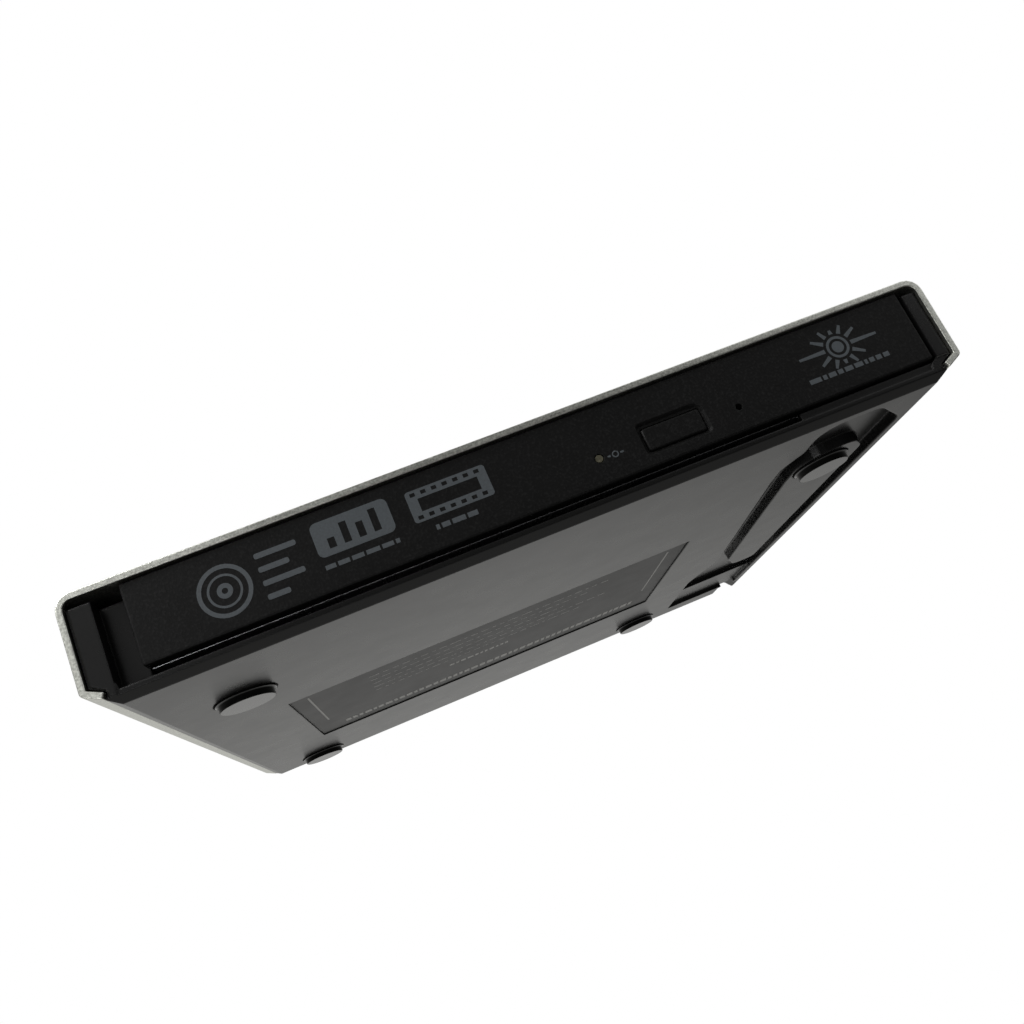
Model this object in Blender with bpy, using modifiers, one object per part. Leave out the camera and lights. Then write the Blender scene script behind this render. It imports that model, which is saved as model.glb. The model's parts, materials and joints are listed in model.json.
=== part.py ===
"""Slim external optical drive: enclosure, 12.7 mm drive, tray and disc mechanism.

X points right as seen from the front, the front faces -Y and +Z is up. The origin is
the centre of the footprint, on the surface that the feet stand on. Sizes are in
millimetres; put() turns them into metres.
"""

import math

import bmesh
import bpy
from mathutils import Matrix, Vector

MM = 0.001
GAP = 0.3  # working gap between neighbouring pieces
REACH = 2.0  # how far a cutting tool runs past the face it opens

# ---- Enclosure ---------------------------------------------------------------
CASE_WIDTH = 142.0
CASE_DEPTH = 136.0
FOOT_HEIGHT = 1.4
WALL_HEIGHT = 15.0
SHEET = 1.0
LIP_IN, LIP_DROP = 2.8, 1.35
CHAMFER_IN, CHAMFER_DROP = 1.75, 1.05
COVER_RADIUS = 2.5
BEND_RADIUS = 0.9

HALF_WIDTH = CASE_WIDTH / 2
FRONT = -CASE_DEPTH / 2
REAR = CASE_DEPTH / 2
Z_FLAT = FOOT_HEIGHT
Z_LIP = Z_FLAT + CHAMFER_DROP
Z_BEND = Z_LIP + LIP_DROP
Z_TOP = Z_BEND + WALL_HEIGHT
X_LIP = HALF_WIDTH - LIP_IN
X_FLAT = X_LIP - CHAMFER_IN

FLOOR = 1.5
Z_FLOOR = Z_FLAT + FLOOR
SHELL_FRONT = FRONT + 0.8
SHELL_REAR = REAR - 1.8
SHELL_SIDE = HALF_WIDTH - SHEET - 0.2
SHELL_WALL = 1.5
SHELL_TOP = Z_TOP - SHEET - 1.3

# ---- Slim drive --------------------------------------------------------------
BEZEL_WIDTH = 128.8
DRIVE_WIDTH = 128.0
DRIVE_HEIGHT = 12.7
DRIVE_X = 2.4
DRIVE_LOW = Z_BEND + 1.05
DRIVE_HIGH = DRIVE_LOW + DRIVE_HEIGHT
BEZEL_FRONT = FRONT + 0.5
DRIVE_FRONT = BEZEL_FRONT + 3.3
DRIVE_REAR = BEZEL_FRONT + 126.1
PAN = 0.6
PAN_FLOOR = DRIVE_LOW + PAN
PAN_LEFT = DRIVE_X - DRIVE_WIDTH / 2
PAN_RIGHT = DRIVE_X + DRIVE_WIDTH / 2
LID_SHEET = 0.4
LID_LOW = DRIVE_HIGH - LID_SHEET

# ---- Tray and rails ----------------------------------------------------------
TRAY_FRONT = DRIVE_FRONT
TRAY_REAR = 50.0
TRAY_HALF = 60.3
FLANGE_HALF = 63.0
TRAY_LOW = DRIVE_LOW + 1.35
TRAY_DECK = TRAY_LOW + 6.0
FLANGE_LOW = TRAY_DECK + 0.9
TRAY_TOP = FLANGE_LOW + 2.5
TRAY_WALL = 1.8
RAIL_Z = DRIVE_LOW + 5.75
RAIL_FRONT, RAIL_REAR = TRAY_FRONT + 1.7, 50.0

# ---- Disc mechanism ----------------------------------------------------------
DISC_RADIUS = 60.0
DISC_Y = -2.7
DISC_FLOOR = TRAY_DECK + 0.9
DISC_BED = DISC_FLOOR + 1.1
SMALL_DISC_RADIUS = 40.0
PLATE_LOW = TRAY_DECK - 1.3
PLATE_HIGH = PLATE_LOW + 0.8
LENS_START = 24.0
ROD_RADIUS = 1.4
ROD_OFFSET = 17.8
ROD_Z = 9.0
SCREW_RADIUS = 1.3
SCREW_OFFSET = -22.6
SCREW_Z = 9.2
SPINDLE = Vector((DRIVE_X, DISC_Y, 0.0))
SLED_ANGLE = math.radians(-45.0)  # the sled runs from the spindle to the front right corner

TRAVERSE_SCREWS = {
    "traverse_screw_1": (-13.0, 15.5),
    "traverse_screw_2": (40.0, 21.8),
    "traverse_screw_3": (-13.0, -15.5),
}

# ---- Bezel features ----------------------------------------------------------
BUTTON_X, BUTTON_Z = 22.6, 9.3
BUTTON_WIDTH, BUTTON_HEIGHT = 9.9, 3.8
LAMP_X, LAMP_Z = 9.8, 9.2
PINHOLE_X, PINHOLE_Z = 33.6, 8.9

# ---- Latch and ejector -------------------------------------------------------
STRIKER = (-50.7, -52.0)
STRIKER_RADIUS = 0.9
LATCH_PIVOT = (-48.0, -40.0)
LATCH_SWING = math.radians(18.0)  # from hooked behind the striker to clear of it
PUSHER_X, PUSHER_Z = 52.0, 9.0
PUSHER_RADIUS = 0.9
PUSHER_TRAVEL = 8.0
PUSHER_BEARINGS = ((20.0, 22.8), (46.8, 49.6))
SPRING_RADIUS = 1.9

FOOT_RADIUS = 4.75
FEET = {
    "foot_front_left": (-54.1, FRONT + 27.8),
    "foot_front_right": (53.9, FRONT + 26.1),
    "foot_rear_left": (-54.1, FRONT + 125.0),
    "foot_rear_right": (34.3, FRONT + 125.0),
}
PANEL_SCREW_X, PANEL_SCREW_Z = 65.4, 11.0
LABEL_X = (-50.3, 32.7)
LABEL_Y = (FRONT + 47.8, FRONT + 98.9)

# ---- Cable channel in the underside ------------------------------------------
CHANNEL_DEPTH = 2.0
CHANNEL_LEFT, CHANNEL_RIGHT = 44.0, 65.0
CHANNEL_REAR = FRONT + 110.0
ISLAND_MARGIN = 5.7  # from the middle of the island's foot to its edges
ISLAND_RIGHT = 61.5
ISLAND_REAR = FRONT + 96.0
POCKET_DEPTH = 0.9
POCKET_X = (CHANNEL_LEFT + 0.2, CHANNEL_RIGHT - 0.2)
POCKET_Y = (CHANNEL_REAR - 3.0, CHANNEL_REAR + 15.0)
EXIT_X = (60.6, 64.5)
LABEL_DEPTH = 0.5

parts = bpy.data.collections.new("optical_drive")
cutters = bpy.data.collections.new("cutters")


# ---- Scene and materials -----------------------------------------------------
def clear_scene():
    for obj in list(bpy.data.objects):
        bpy.data.objects.remove(obj, do_unlink=True)
    for collection in (parts, cutters):
        bpy.context.scene.collection.children.link(collection)


def finish(name, colour, roughness, metallic=0.0):
    """A plain Principled material."""
    mat = bpy.data.materials.new(name)
    mat.use_nodes = True
    shader = mat.node_tree.nodes["Principled BSDF"]
    shader.inputs["Base Color"].default_value = (*colour, 1.0)
    shader.inputs["Roughness"].default_value = roughness
    shader.inputs["Metallic"].default_value = metallic
    return mat


def make_finishes():
    return {
        "aluminium": finish("aluminium", (0.62, 0.63, 0.58), 0.35, 1.0),
        "black_shell": finish("black_shell", (0.012, 0.012, 0.012), 0.3),
        "black_bezel": finish("black_bezel", (0.010, 0.010, 0.010), 0.5),
        "grey_tray": finish("grey_tray", (0.03, 0.03, 0.032), 0.5),
        "steel": finish("steel", (0.56, 0.57, 0.58), 0.32, 1.0),
        "dark_steel": finish("dark_steel", (0.25, 0.25, 0.26), 0.4, 1.0),
        "rubber": finish("rubber", (0.03, 0.03, 0.03), 0.8),
        "label": finish("label", (0.02, 0.02, 0.02), 0.35),
        "green_board": finish("green_board", (0.02, 0.12, 0.05), 0.4),
        "chip": finish("chip", (0.02, 0.02, 0.02), 0.6),
        "white_plastic": finish("white_plastic", (0.75, 0.74, 0.70), 0.45),
        "lamp": finish("lamp", (0.55, 0.62, 0.30), 0.2),
        "flex": finish("flex", (0.50, 0.22, 0.05), 0.4),
        "glass": finish("glass", (0.10, 0.08, 0.16), 0.05),
    }


# ---- Modelling helpers -------------------------------------------------------
def put(name, mesh_edit, mat=None, smooth=False):
    """Turn an edited mesh in millimetres into an object of the drive."""
    bmesh.ops.recalc_face_normals(mesh_edit, faces=mesh_edit.faces)
    bmesh.ops.scale(mesh_edit, vec=(MM, MM, MM), verts=mesh_edit.verts)
    for face in mesh_edit.faces:
        face.smooth = smooth
    mesh = bpy.data.meshes.new(name)
    mesh_edit.to_mesh(mesh)
    mesh_edit.free()
    obj = bpy.data.objects.new(name, mesh)
    if mat:
        mesh.materials.append(mat)
    parts.objects.link(obj)
    return obj


def block(name, x, y, z, mat=None):
    """A box between (low, high) pairs."""
    size = (x[1] - x[0], y[1] - y[0], z[1] - z[0])
    centre = ((x[0] + x[1]) / 2, (y[0] + y[1]) / 2, (z[0] + z[1]) / 2)
    edit = bmesh.new()
    place = Matrix.Translation(centre) @ Matrix.Diagonal((*size, 1))
    bmesh.ops.create_cube(edit, size=1.0, matrix=place)
    return put(name, edit, mat)


AXIS_TURN = {
    "X": Matrix.Rotation(math.radians(90), 4, "Y"),
    "Y": Matrix.Rotation(math.radians(-90), 4, "X"),
    "Z": Matrix.Identity(4),
}


def rod(name, centre, radius, length, axis="Z", sides=24, mat=None, end_radius=None):
    """A round bar centred on a point; end_radius makes it a cone."""
    edit = bmesh.new()
    far = radius if end_radius is None else end_radius
    place = Matrix.Translation(centre) @ AXIS_TURN[axis]
    bmesh.ops.create_cone(
        edit, cap_ends=True, segments=sides, radius1=radius, radius2=far, depth=length, matrix=place
    )
    return put(name, edit, mat, smooth=True)


def bar(name, x, y, z, radius, axis="Z", sides=24, mat=None):
    """A round bar given by one (low, high) pair along its axis and its centre in the others."""
    span = {"X": x, "Y": y, "Z": z}[axis]
    middle = (span[0] + span[1]) / 2
    centre = {"X": (middle, y, z), "Y": (x, middle, z), "Z": (x, y, middle)}[axis]
    return rod(name, centre, radius, span[1] - span[0], axis, sides, mat)


def prism(name, outline, low, high, axis="Z", mat=None, spread=0.0):
    """Extrude an outline along an axis; spread grows the far end outwards."""
    edit = bmesh.new()
    spots = [Vector((a, b, low)) for a, b in outline]
    if spread:
        tops = offset(outline, spread)
    else:
        tops = outline
    face = edit.faces.new([edit.verts.new(spot) for spot in spots])
    made = bmesh.ops.extrude_face_region(edit, geom=[face])
    fresh = [item for item in made["geom"] if isinstance(item, bmesh.types.BMVert)]
    for vert in fresh:
        nearest = min(range(len(outline)), key=lambda i: (Vector(outline[i]) - vert.co.xy).length)
        vert.co = Vector((*tops[nearest], high))
    if axis == "Y":
        for vert in edit.verts:
            vert.co = Vector((vert.co.x, vert.co.z, vert.co.y))
    if axis == "X":
        for vert in edit.verts:
            vert.co = Vector((vert.co.z, vert.co.x, vert.co.y))
    return put(name, edit, mat)


def lathe(name, profile, centre, mat, axis="Z", steps=32):
    """Turn a profile of (radius, height) points, given from its top down its outer side."""
    edit = bmesh.new()
    verts = [edit.verts.new((radius, 0.0, height)) for radius, height in profile]
    closed = profile[0][0] > 0
    for first, second in zip(verts, verts[1:]):
        edit.edges.new((first, second))
    if closed:
        edit.edges.new((verts[-1], verts[0]))
    obj = put(name, edit, mat)
    turn = obj.modifiers.new("turn", "SCREW")
    turn.axis = "Z"
    turn.angle = math.tau
    turn.steps = steps
    turn.render_steps = steps
    turn.use_merge_vertices = True
    turn.merge_threshold = 0.000005
    turn.use_smooth_shade = True
    obj.matrix_world = Matrix.Translation(Vector(centre) * MM) @ AXIS_TURN[axis]
    return obj


def rounded(corners, radii, steps=4):
    """Replace the corners of a closed outline by arcs; radii is one number or one per corner."""
    if not isinstance(radii, (list, tuple)):
        radii = [radii] * len(corners)
    outline = []
    for index, radius in enumerate(radii):
        here = Vector(corners[index])
        if radius <= 0:
            outline.append(tuple(here))
            continue
        before = (Vector(corners[index - 1]) - here).normalized()
        after = (Vector(corners[(index + 1) % len(corners)]) - here).normalized()
        half = before.angle(after) / 2
        middle = here + (before + after).normalized() * (radius / math.sin(half))
        start = here + before * (radius / math.tan(half)) - middle
        sweep = start.angle_signed(here + after * (radius / math.tan(half)) - middle)
        for step in range(steps + 1):
            turned = start.copy()
            turned.rotate(Matrix.Rotation(-sweep * step / steps, 2))
            outline.append(tuple(middle + turned))
    return outline


def rectangle(x, y):
    return [(x[0], y[0]), (x[1], y[0]), (x[1], y[1]), (x[0], y[1])]


def mirrored(points):
    """The same points on the other side of the middle, in the opposite order."""
    return [(-x, z) for x, z in reversed(points)]


def offset(outline, distance):
    """Move each corner of an outline outwards by a distance."""
    area = sum(a[0] * b[1] - b[0] * a[1] for a, b in zip(outline, outline[1:] + outline[:1]))
    side = 1.0 if area > 0 else -1.0
    grown = []
    for index, corner in enumerate(outline):
        into = (Vector(corner) - Vector(outline[index - 1])).normalized()
        out = (Vector(outline[(index + 1) % len(outline)]) - Vector(corner)).normalized()
        first = Vector((into.y, -into.x)) * side
        second = Vector((out.y, -out.x)) * side
        mean = (first + second).normalized()
        grown.append(tuple(Vector(corner) + mean * (distance / max(mean.dot(first), 0.5))))
    return grown


def park(tool):
    """Keep a tool object out of the drive."""
    tool.name = "tool_" + tool.name
    parts.objects.unlink(tool)
    cutters.objects.link(tool)
    tool.hide_render = True
    tool.display_type = "WIRE"


def combine(target, operation, tools):
    for tool in tools:
        park(tool)
        tool.parent = target
        tool.matrix_parent_inverse = target.matrix_world.inverted()
        step = target.modifiers.new(operation.lower(), "BOOLEAN")
        step.operation = operation
        step.solver = "EXACT"
        step.object = tool
    return target


def cut(target, *tools):
    return combine(target, "DIFFERENCE", tools)


def fuse(target, *tools):
    return combine(target, "UNION", tools)


def swing_to_sled(*objects):
    """Turn pieces drawn around the spindle at the origin to the sled's direction."""
    place = Matrix.Translation(SPINDLE * MM) @ Matrix.Rotation(SLED_ANGLE, 4, "Z")
    for obj in objects:
        obj.matrix_world = place @ obj.matrix_world


def pivot_at(obj, point):
    """Move an object's origin to a point without moving its shape."""
    bpy.context.view_layer.update()
    spot = obj.matrix_world.inverted() @ (Vector(point) * MM)
    obj.data.transform(Matrix.Translation(-spot))
    obj.matrix_world = obj.matrix_world @ Matrix.Translation(spot)
    for tool in obj.children:
        tool.matrix_parent_inverse = Matrix.Translation(-spot) @ tool.matrix_parent_inverse


def bevel(obj, width, segments=1, angle=40):
    step = obj.modifiers.new("edge", "BEVEL")
    step.width = width * MM
    step.segments = segments
    step.limit_method = "ANGLE"
    step.angle_limit = math.radians(angle)
    return obj


# ---- Enclosure ---------------------------------------------------------------
def cover_outline():
    """Cross-section of the bent sheet, from the left lip over the top to the right lip."""
    slope = Vector((LIP_IN, -LIP_DROP)).normalized()
    inward = Vector((-slope.y, slope.x)) * SHEET
    lip_end = Vector((-X_LIP, Z_LIP))
    inner_x = HALF_WIDTH - SHEET
    inner_end = lip_end + inward
    inner_bend = inner_end + Vector((-1, -slope.y / slope.x)) * (inner_x + inner_end.x)
    left_outer = [tuple(lip_end), (-HALF_WIDTH, Z_BEND), (-HALF_WIDTH, Z_TOP)]
    left_inner = [(-inner_x, Z_TOP - SHEET), tuple(inner_bend), tuple(inner_end)]
    corners = left_outer + mirrored(left_outer) + mirrored(left_inner) + left_inner
    inner_top = COVER_RADIUS - SHEET
    outer_radii = [0, BEND_RADIUS, COVER_RADIUS, COVER_RADIUS, BEND_RADIUS, 0]
    inner_radii = [0, 0.2, inner_top, inner_top, 0.2, 0]
    return rounded(corners, outer_radii + inner_radii)


def make_cover(mats):
    prism("top_cover", cover_outline(), FRONT, REAR, "Y", mats["aluminium"])


def shell_section():
    """Cross-section of the bottom shell: floor, chamfer, step over the cover's lip and side wall."""
    gap = 0.2
    half = [
        (X_FLAT, Z_FLAT),
        (X_LIP - gap, Z_LIP - 0.1),
        (X_LIP - 0.65, Z_LIP + 0.85),
        (X_LIP - 0.58, Z_LIP + 1.12),
        (SHELL_SIDE, Z_BEND + 0.85),
        (SHELL_SIDE, SHELL_TOP),
        (SHELL_SIDE - SHELL_WALL, SHELL_TOP),
        (SHELL_SIDE - SHELL_WALL, Z_BEND + 1.6),
        (X_FLAT - 0.3, Z_BEND + 0.4),
        (X_FLAT - 0.6, Z_FLOOR),
    ]
    return half + mirrored(half)


def channel_outline():
    """The cable channel's outer edge on the underside, from the plug pocket round the front foot."""
    return rounded(
        [
            (CHANNEL_LEFT, CHANNEL_REAR),
            (CHANNEL_LEFT, FRONT + 97.0),
            (48.2, FRONT + 82.0),
            (43.6, FRONT + 26.0),
            (43.5, FRONT + 19.5),
            (46.2, FRONT + 14.0),
            (46.2, FRONT + 4.2),
            (56.8, FRONT + 4.2),
            (CHANNEL_RIGHT, FRONT + 14.6),
            (CHANNEL_RIGHT, CHANNEL_REAR),
        ],
        [0.5, 1.5, 5.0, 3.0, 3.0, 3.0, 5.0, 4.5, 4.5, 0.5],
    )


def island_outline():
    """The level island that the cable runs around; its round front end carries a foot."""
    foot_x, foot_y = FEET["foot_front_right"]
    left, front = foot_x - ISLAND_MARGIN, foot_y - ISLAND_MARGIN
    return rounded(
        [
            (ISLAND_RIGHT, ISLAND_REAR),
            (ISLAND_RIGHT, foot_y - 2.0),
            (ISLAND_RIGHT - 3.2, front - 1.3),
            (left, front),
            (left, foot_y + 4.0),
            (52.6, FRONT + 88.0),
            (56.0, ISLAND_REAR),
        ],
        [2.0, 4.0, 3.5, 5.4, 6.0, 6.0, 3.0],
        steps=6,
    )


def pocket_outline():
    """The shallow pocket for the cable's plug, behind the channel's rear end."""
    return rounded(rectangle(POCKET_X, POCKET_Y), 1.0)


def notch(name, y):
    outline = rounded(rectangle((60.0, 66.0), (Z_FLAT - REACH, Z_FLAT + 2.2)), [0, 0, 1.8, 1.8])
    return prism(name, outline, y[0], y[1], "Y")


def left_pillar_outline():
    """The left pillar seen from the front; its foot steps over the cover's lip."""
    inner, outer, low = 66.3, SHELL_SIDE - 0.4, Z_FLOOR - 0.5
    half = [
        (inner, low), (X_LIP - 0.9, low), (X_LIP - 0.7, Z_BEND - 0.1), (outer, Z_BEND + 0.95),
        (outer, SHELL_TOP), (inner, SHELL_TOP),
    ]
    return [(-x, z) for x, z in half]


def shell_pillars():
    """Left and right end pillars and the recessed face between the left one and the bezel."""
    bezel_left = BEZEL_WIDTH / 2 - DRIVE_X
    bezel_right = BEZEL_WIDTH / 2 + DRIVE_X
    front, rear = FRONT + 0.5, DRIVE_FRONT + 3.5
    left = prism("pillar_left", left_pillar_outline(), front, rear, "Y")
    face_y = (FRONT + 4.2, rear - 0.4)
    face = block("pillar_face", (-66.9, 0.1 - bezel_left), face_y, (Z_FLOOR - 0.7, SHELL_TOP - 0.3))
    right = block(
        "pillar_right", (bezel_right + 0.7, SHELL_SIDE - 0.4), (front, rear), (Z_BEND + 1.0, SHELL_TOP)
    )
    return left, face, right


def shell_posts():
    """Posts for the rear panel's screws, the drive's bracket, the bridge board and the drive."""
    edge = SHELL_SIDE - 0.4
    base = Z_FLOOR - 0.5
    posts = [
        block("post_left", (-edge, -62.2), (60.0, SHELL_REAR), (8.0, 14.0)),
        block("post_right", (62.0, edge), (60.0, SHELL_REAR), (8.0, 14.0)),
        block("post_bracket", (-58.0, -52.0), (60.2, 64.6), (base, 4.9)),
    ]
    for index, x in enumerate((0.0, 30.0)):
        posts.append(block(f"post_board_{index}", (x, x + 3.0), (60.0, 64.0), (base, 5.7)))
    z = (base, DRIVE_LOW - 0.25)
    for index, (x, y) in enumerate([(-56.0, -50.0), (-56.0, 45.0), (10.0, -50.0), (10.0, 45.0)]):
        posts.append(block(f"post_drive_{index}", (x, x + 8.0), (y, y + 4.0), z))
    return posts


def make_shell(mats):
    shell = prism("bottom_shell", shell_section(), SHELL_FRONT, SHELL_REAR, "Y", mats["black_shell"])
    lip_y = (SHELL_FRONT, SHELL_FRONT + 1.2)
    front_lip = block("front_lip", (1.0 - X_LIP, X_LIP - 1.0), lip_y, (Z_LIP, Z_LIP + 0.75))
    housing_y = (SHELL_FRONT + 0.4, SHELL_REAR)
    housing_z = (Z_FLOOR - 0.5, Z_FLAT + CHANNEL_DEPTH + 1.0)
    housing = block("channel_housing", (CHANNEL_LEFT - 1.8, X_FLAT), housing_y, housing_z)
    fuse(shell, front_lip, housing, *shell_pillars(), *shell_posts())

    overrun = HALF_WIDTH + REACH
    slope = CHAMFER_DROP / CHAMFER_IN
    for name, edge, side in (("front_chamfer", SHELL_FRONT, 1), ("rear_chamfer", SHELL_REAR, -1)):
        back = edge - side * REACH
        wedge = [
            (back, Z_LIP + REACH * slope),
            (edge + side * (CHAMFER_IN + REACH), Z_FLAT - REACH * slope),
            (back, Z_FLAT - REACH * slope),
        ]
        cut(shell, prism(name, wedge, -overrun, overrun, "X"))

    low = Z_FLAT - REACH
    channel_top = Z_FLAT + CHANNEL_DEPTH
    pocket_top = Z_FLAT + POCKET_DEPTH
    channel = prism("channel", channel_outline(), low, channel_top)
    pocket = prism("plug_pocket", pocket_outline(), low, pocket_top)
    cable_exit = block("cable_exit", EXIT_X, (POCKET_Y[1] - 5.0, REAR + REACH), (low, pocket_top))
    cut(shell, channel, pocket, cable_exit)
    island = prism("island", island_outline(), Z_FLAT, channel_top + 0.4, spread=0.3)
    fuse(shell, island)
    cut(shell, notch("shell_notch", (FRONT + 126.0, REAR)))

    cut(shell, block("label_recess", LABEL_X, LABEL_Y, (low, Z_FLAT + LABEL_DEPTH)))
    for name, (x, y) in FEET.items():
        cut(shell, bar(name + "_recess", x, y, (low, Z_FLAT + 0.5), FOOT_RADIUS + 0.75, sides=40))
    hole_y = (61.0, SHELL_REAR + REACH)
    for side in (-1, 1):
        hole = bar(f"post_hole_{side}", side * PANEL_SCREW_X, hole_y, PANEL_SCREW_Z, 0.95, "Y", 16)
        cut(shell, hole)
    cut(shell, bar("bracket_hole", -55.0, 62.4, (3.0, 4.9 + REACH), 0.95, sides=16))


def make_feet(mats):
    top = Z_FLAT + 0.4
    collar = Z_FLAT - 0.25
    profile = [
        (0.0, top),
        (FOOT_RADIUS + 0.45, top),
        (FOOT_RADIUS + 0.45, collar),
        (FOOT_RADIUS, collar - 0.2),
        (FOOT_RADIUS, 0.15),
        (FOOT_RADIUS - 0.15, 0.0),
        (0.0, 0.0),
    ]
    for name, (x, y) in FEET.items():
        lathe(name, profile, (x, y, 0.0), mats["rubber"], steps=36)


def make_label(mats):
    inset = 0.25
    x = (LABEL_X[0] + inset, LABEL_X[1] - inset)
    y = (LABEL_Y[0] + inset, LABEL_Y[1] - inset)
    z = (Z_FLAT + LABEL_DEPTH - 0.25, Z_FLAT + LABEL_DEPTH - 0.05)
    block("rating_label", x, y, z, mats["label"])


def make_rear_panel(mats):
    y = (SHELL_REAR + GAP, REAR - 0.2)
    side = HALF_WIDTH - SHEET - 0.3
    low = Z_LIP + 1.15
    outline = rounded(
        [(-side + 2.2, low), (side - 2.2, low), (side, low + 1.1), (side, Z_TOP - 1.3),
         (-side, Z_TOP - 1.3), (-side, low + 1.1)],
        [0, 0, 0, 1.3, 1.3, 0],
    )
    panel = prism("rear_panel", outline, y[0], y[1], "Y", mats["black_shell"])
    deep = (y[0] - REACH, y[1] + REACH)
    usb = rounded(rectangle((49.9, 58.3), (7.1, 11.8)), 0.5, 2)
    cut(panel, prism("usb_opening", usb, *deep, "Y"))
    cut(panel, bar("jack_opening", 40.0, deep, 10.3, 3.0, "Y", 32))
    for side in (-1, 1):
        x = side * PANEL_SCREW_X
        cut(panel, bar(f"panel_hole_{side}", x, deep, PANEL_SCREW_Z, 1.1, "Y", 20))
        sink = (x, y[1], PANEL_SCREW_Z)
        cut(panel, rod(f"panel_sink_{side}", sink, 0.9, 2.0, "Y", 20, None, 2.9))
    for slot in range(8):
        x = -30.0 + 5.0 * slot
        opening = rounded(rectangle((x, x + 1.6), (8.0, 14.0)), 0.75, 3)
        cut(panel, prism(f"vent_{slot}", opening, *deep, "Y"))
    cut(panel, notch("panel_notch", deep))


def make_bridge(mats):
    """The bridge board behind the drive with its chip, sockets and the plug for the drive."""
    block("bridge_board", (-8.0, 59.2), (59.2, 66.0), (6.0, 7.1), mats["green_board"])
    block("bridge_chip", (32.0, 36.0), (60.4, 64.4), (7.2, 8.0), mats["chip"])

    usb = block("usb_socket", (50.25, 57.95), (59.4, REAR - 0.1), (7.4, 11.3), mats["steel"])
    cut(usb, block("usb_cavity", (50.75, 57.45), (62.0, REAR + REACH), (7.9, 10.8)))
    fuse(usb, block("usb_tongue", (52.0, 56.2), (61.5, 66.6), (9.1, 9.7)))

    jack = block("power_jack", (37.0, 43.0), (59.4, 66.2), (7.4, 13.2), mats["chip"])
    fuse(jack, bar("jack_nose", 40.0, (65.0, REAR - 0.3), 10.3, 2.7, "Y", 32))
    cut(jack, bar("jack_bore", 40.0, (61.5, REAR + REACH), 10.3, 1.7, "Y", 24))
    fuse(jack, bar("jack_pin", 40.0, (61.0, 67.0), 10.3, 0.35, "Y", 12))

    plug = block("sata_plug", (5.0, 27.0), (59.0, 62.6), (7.4, 11.6), mats["chip"])
    fuse(plug, block("plug_tongue", (6.0, 26.0), (55.8, 59.5), (9.1, 10.1)))


def screw_profile(head, shank, length, head_height):
    """A pan-head screw pointing down from its head at height 0."""
    return [
        (0.0, head_height),
        (head - 0.3, head_height),
        (head, head_height - 0.35),
        (head, 0.0),
        (shank, 0.0),
        (shank, -length),
        (0.0, -length),
    ]


def make_case_screws(mats):
    sunk = [(0.0, 0.0), (1.75, 0.0), (0.75, -1.0), (0.75, -5.8), (0.0, -5.8)]
    for name, side in (("panel_screw_left", -1), ("panel_screw_right", 1)):
        spot = (side * PANEL_SCREW_X, REAR - 0.2, PANEL_SCREW_Z)
        lathe(name, sunk, spot, mats["dark_steel"], "Y", 20)
    lower = screw_profile(1.5, 0.7, 2.7, 0.8)
    lathe("bracket_screw_lower", lower, (-55.0, 62.4, 6.05), mats["dark_steel"], steps=20)
    upper = screw_profile(1.5, 0.7, 2.0, 0.8)
    lathe("bracket_screw_upper", upper, (-55.0, 59.75, 11.5), mats["dark_steel"], "Y", 20)


def make_bracket(mats):
    """Steel angle that ties the drive's rear wall to the shell."""
    bracket = block("drive_bracket", (-59.0, -51.0), (58.8, 59.6), (5.15, 14.0), mats["steel"])
    fuse(bracket, block("bracket_tab", (-58.8, -51.2), (59.2, 65.0), (5.15, 5.95)))
    cut(bracket, bar("tab_hole", -55.0, 62.4, (4.0, 8.0), 1.0, sides=16))
    cut(bracket, bar("wall_hole", -55.0, (57.0, 61.0), 11.5, 1.0, "Y", 16))


# ---- Drive, fixed part -------------------------------------------------------
def make_chassis(mats):
    """The pressed pan that the tray runs in, its lid and the pin that the latch hooks on."""
    width = (PAN_LEFT, PAN_RIGHT)
    pan_z = (DRIVE_LOW, LID_LOW - 0.1)
    pan = block("drive_chassis", width, (DRIVE_FRONT, DRIVE_REAR), pan_z, mats["steel"])
    inside_x = (PAN_LEFT + PAN, PAN_RIGHT - PAN)
    inside_y = (DRIVE_FRONT - REACH, DRIVE_REAR - PAN)
    cut(pan, block("pan_inside", inside_x, inside_y, (PAN_FLOOR, LID_LOW + REACH)))
    rear_wall = (DRIVE_REAR - REACH, DRIVE_REAR + REACH)
    cut(pan, block("connector_opening", (3.6, 28.4), rear_wall, (6.7, 12.3)))
    cut(pan, bar("bracket_tap", -55.0, rear_wall, 11.5, 0.95, "Y", 16))

    lid_y = (DRIVE_FRONT + 0.2, DRIVE_REAR)
    lid = block("drive_lid", width, lid_y, (LID_LOW, DRIVE_HIGH), mats["steel"])
    relief_x = (PAN_LEFT + 12, PAN_RIGHT - 12)
    relief = rounded(rectangle(relief_x, (DRIVE_FRONT + 14, DRIVE_REAR - 14)), 8.0)
    cut(lid, prism("lid_relief", relief, DRIVE_HIGH - 0.1, DRIVE_HIGH + REACH))

    profile = [
        (0.0, TRAY_LOW + 1.5),
        (STRIKER_RADIUS - 0.2, TRAY_LOW + 1.5),
        (STRIKER_RADIUS, TRAY_LOW + 1.3),
        (STRIKER_RADIUS, PAN_FLOOR + 0.5),
        (1.5, PAN_FLOOR + 0.35),
        (1.5, PAN_FLOOR + 0.05),
        (0.0, PAN_FLOOR + 0.05),
    ]
    lathe("striker_pin", profile, (*STRIKER, 0.0), mats["steel"], steps=20)


def channel_section(side, back, mouth, low, high, web, flange):
    """A C section facing the tray, by distances from the pan's inner wall."""
    wall = PAN_LEFT + PAN if side < 0 else PAN_RIGHT - PAN
    depths = [
        (back, low),
        (mouth, low),
        (mouth, low + flange),
        (back + web, low + flange),
        (back + web, high - flange),
        (mouth, high - flange),
        (mouth, high),
        (back, high),
    ]
    return [(wall - side * depth, z) for depth, z in depths]


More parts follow.
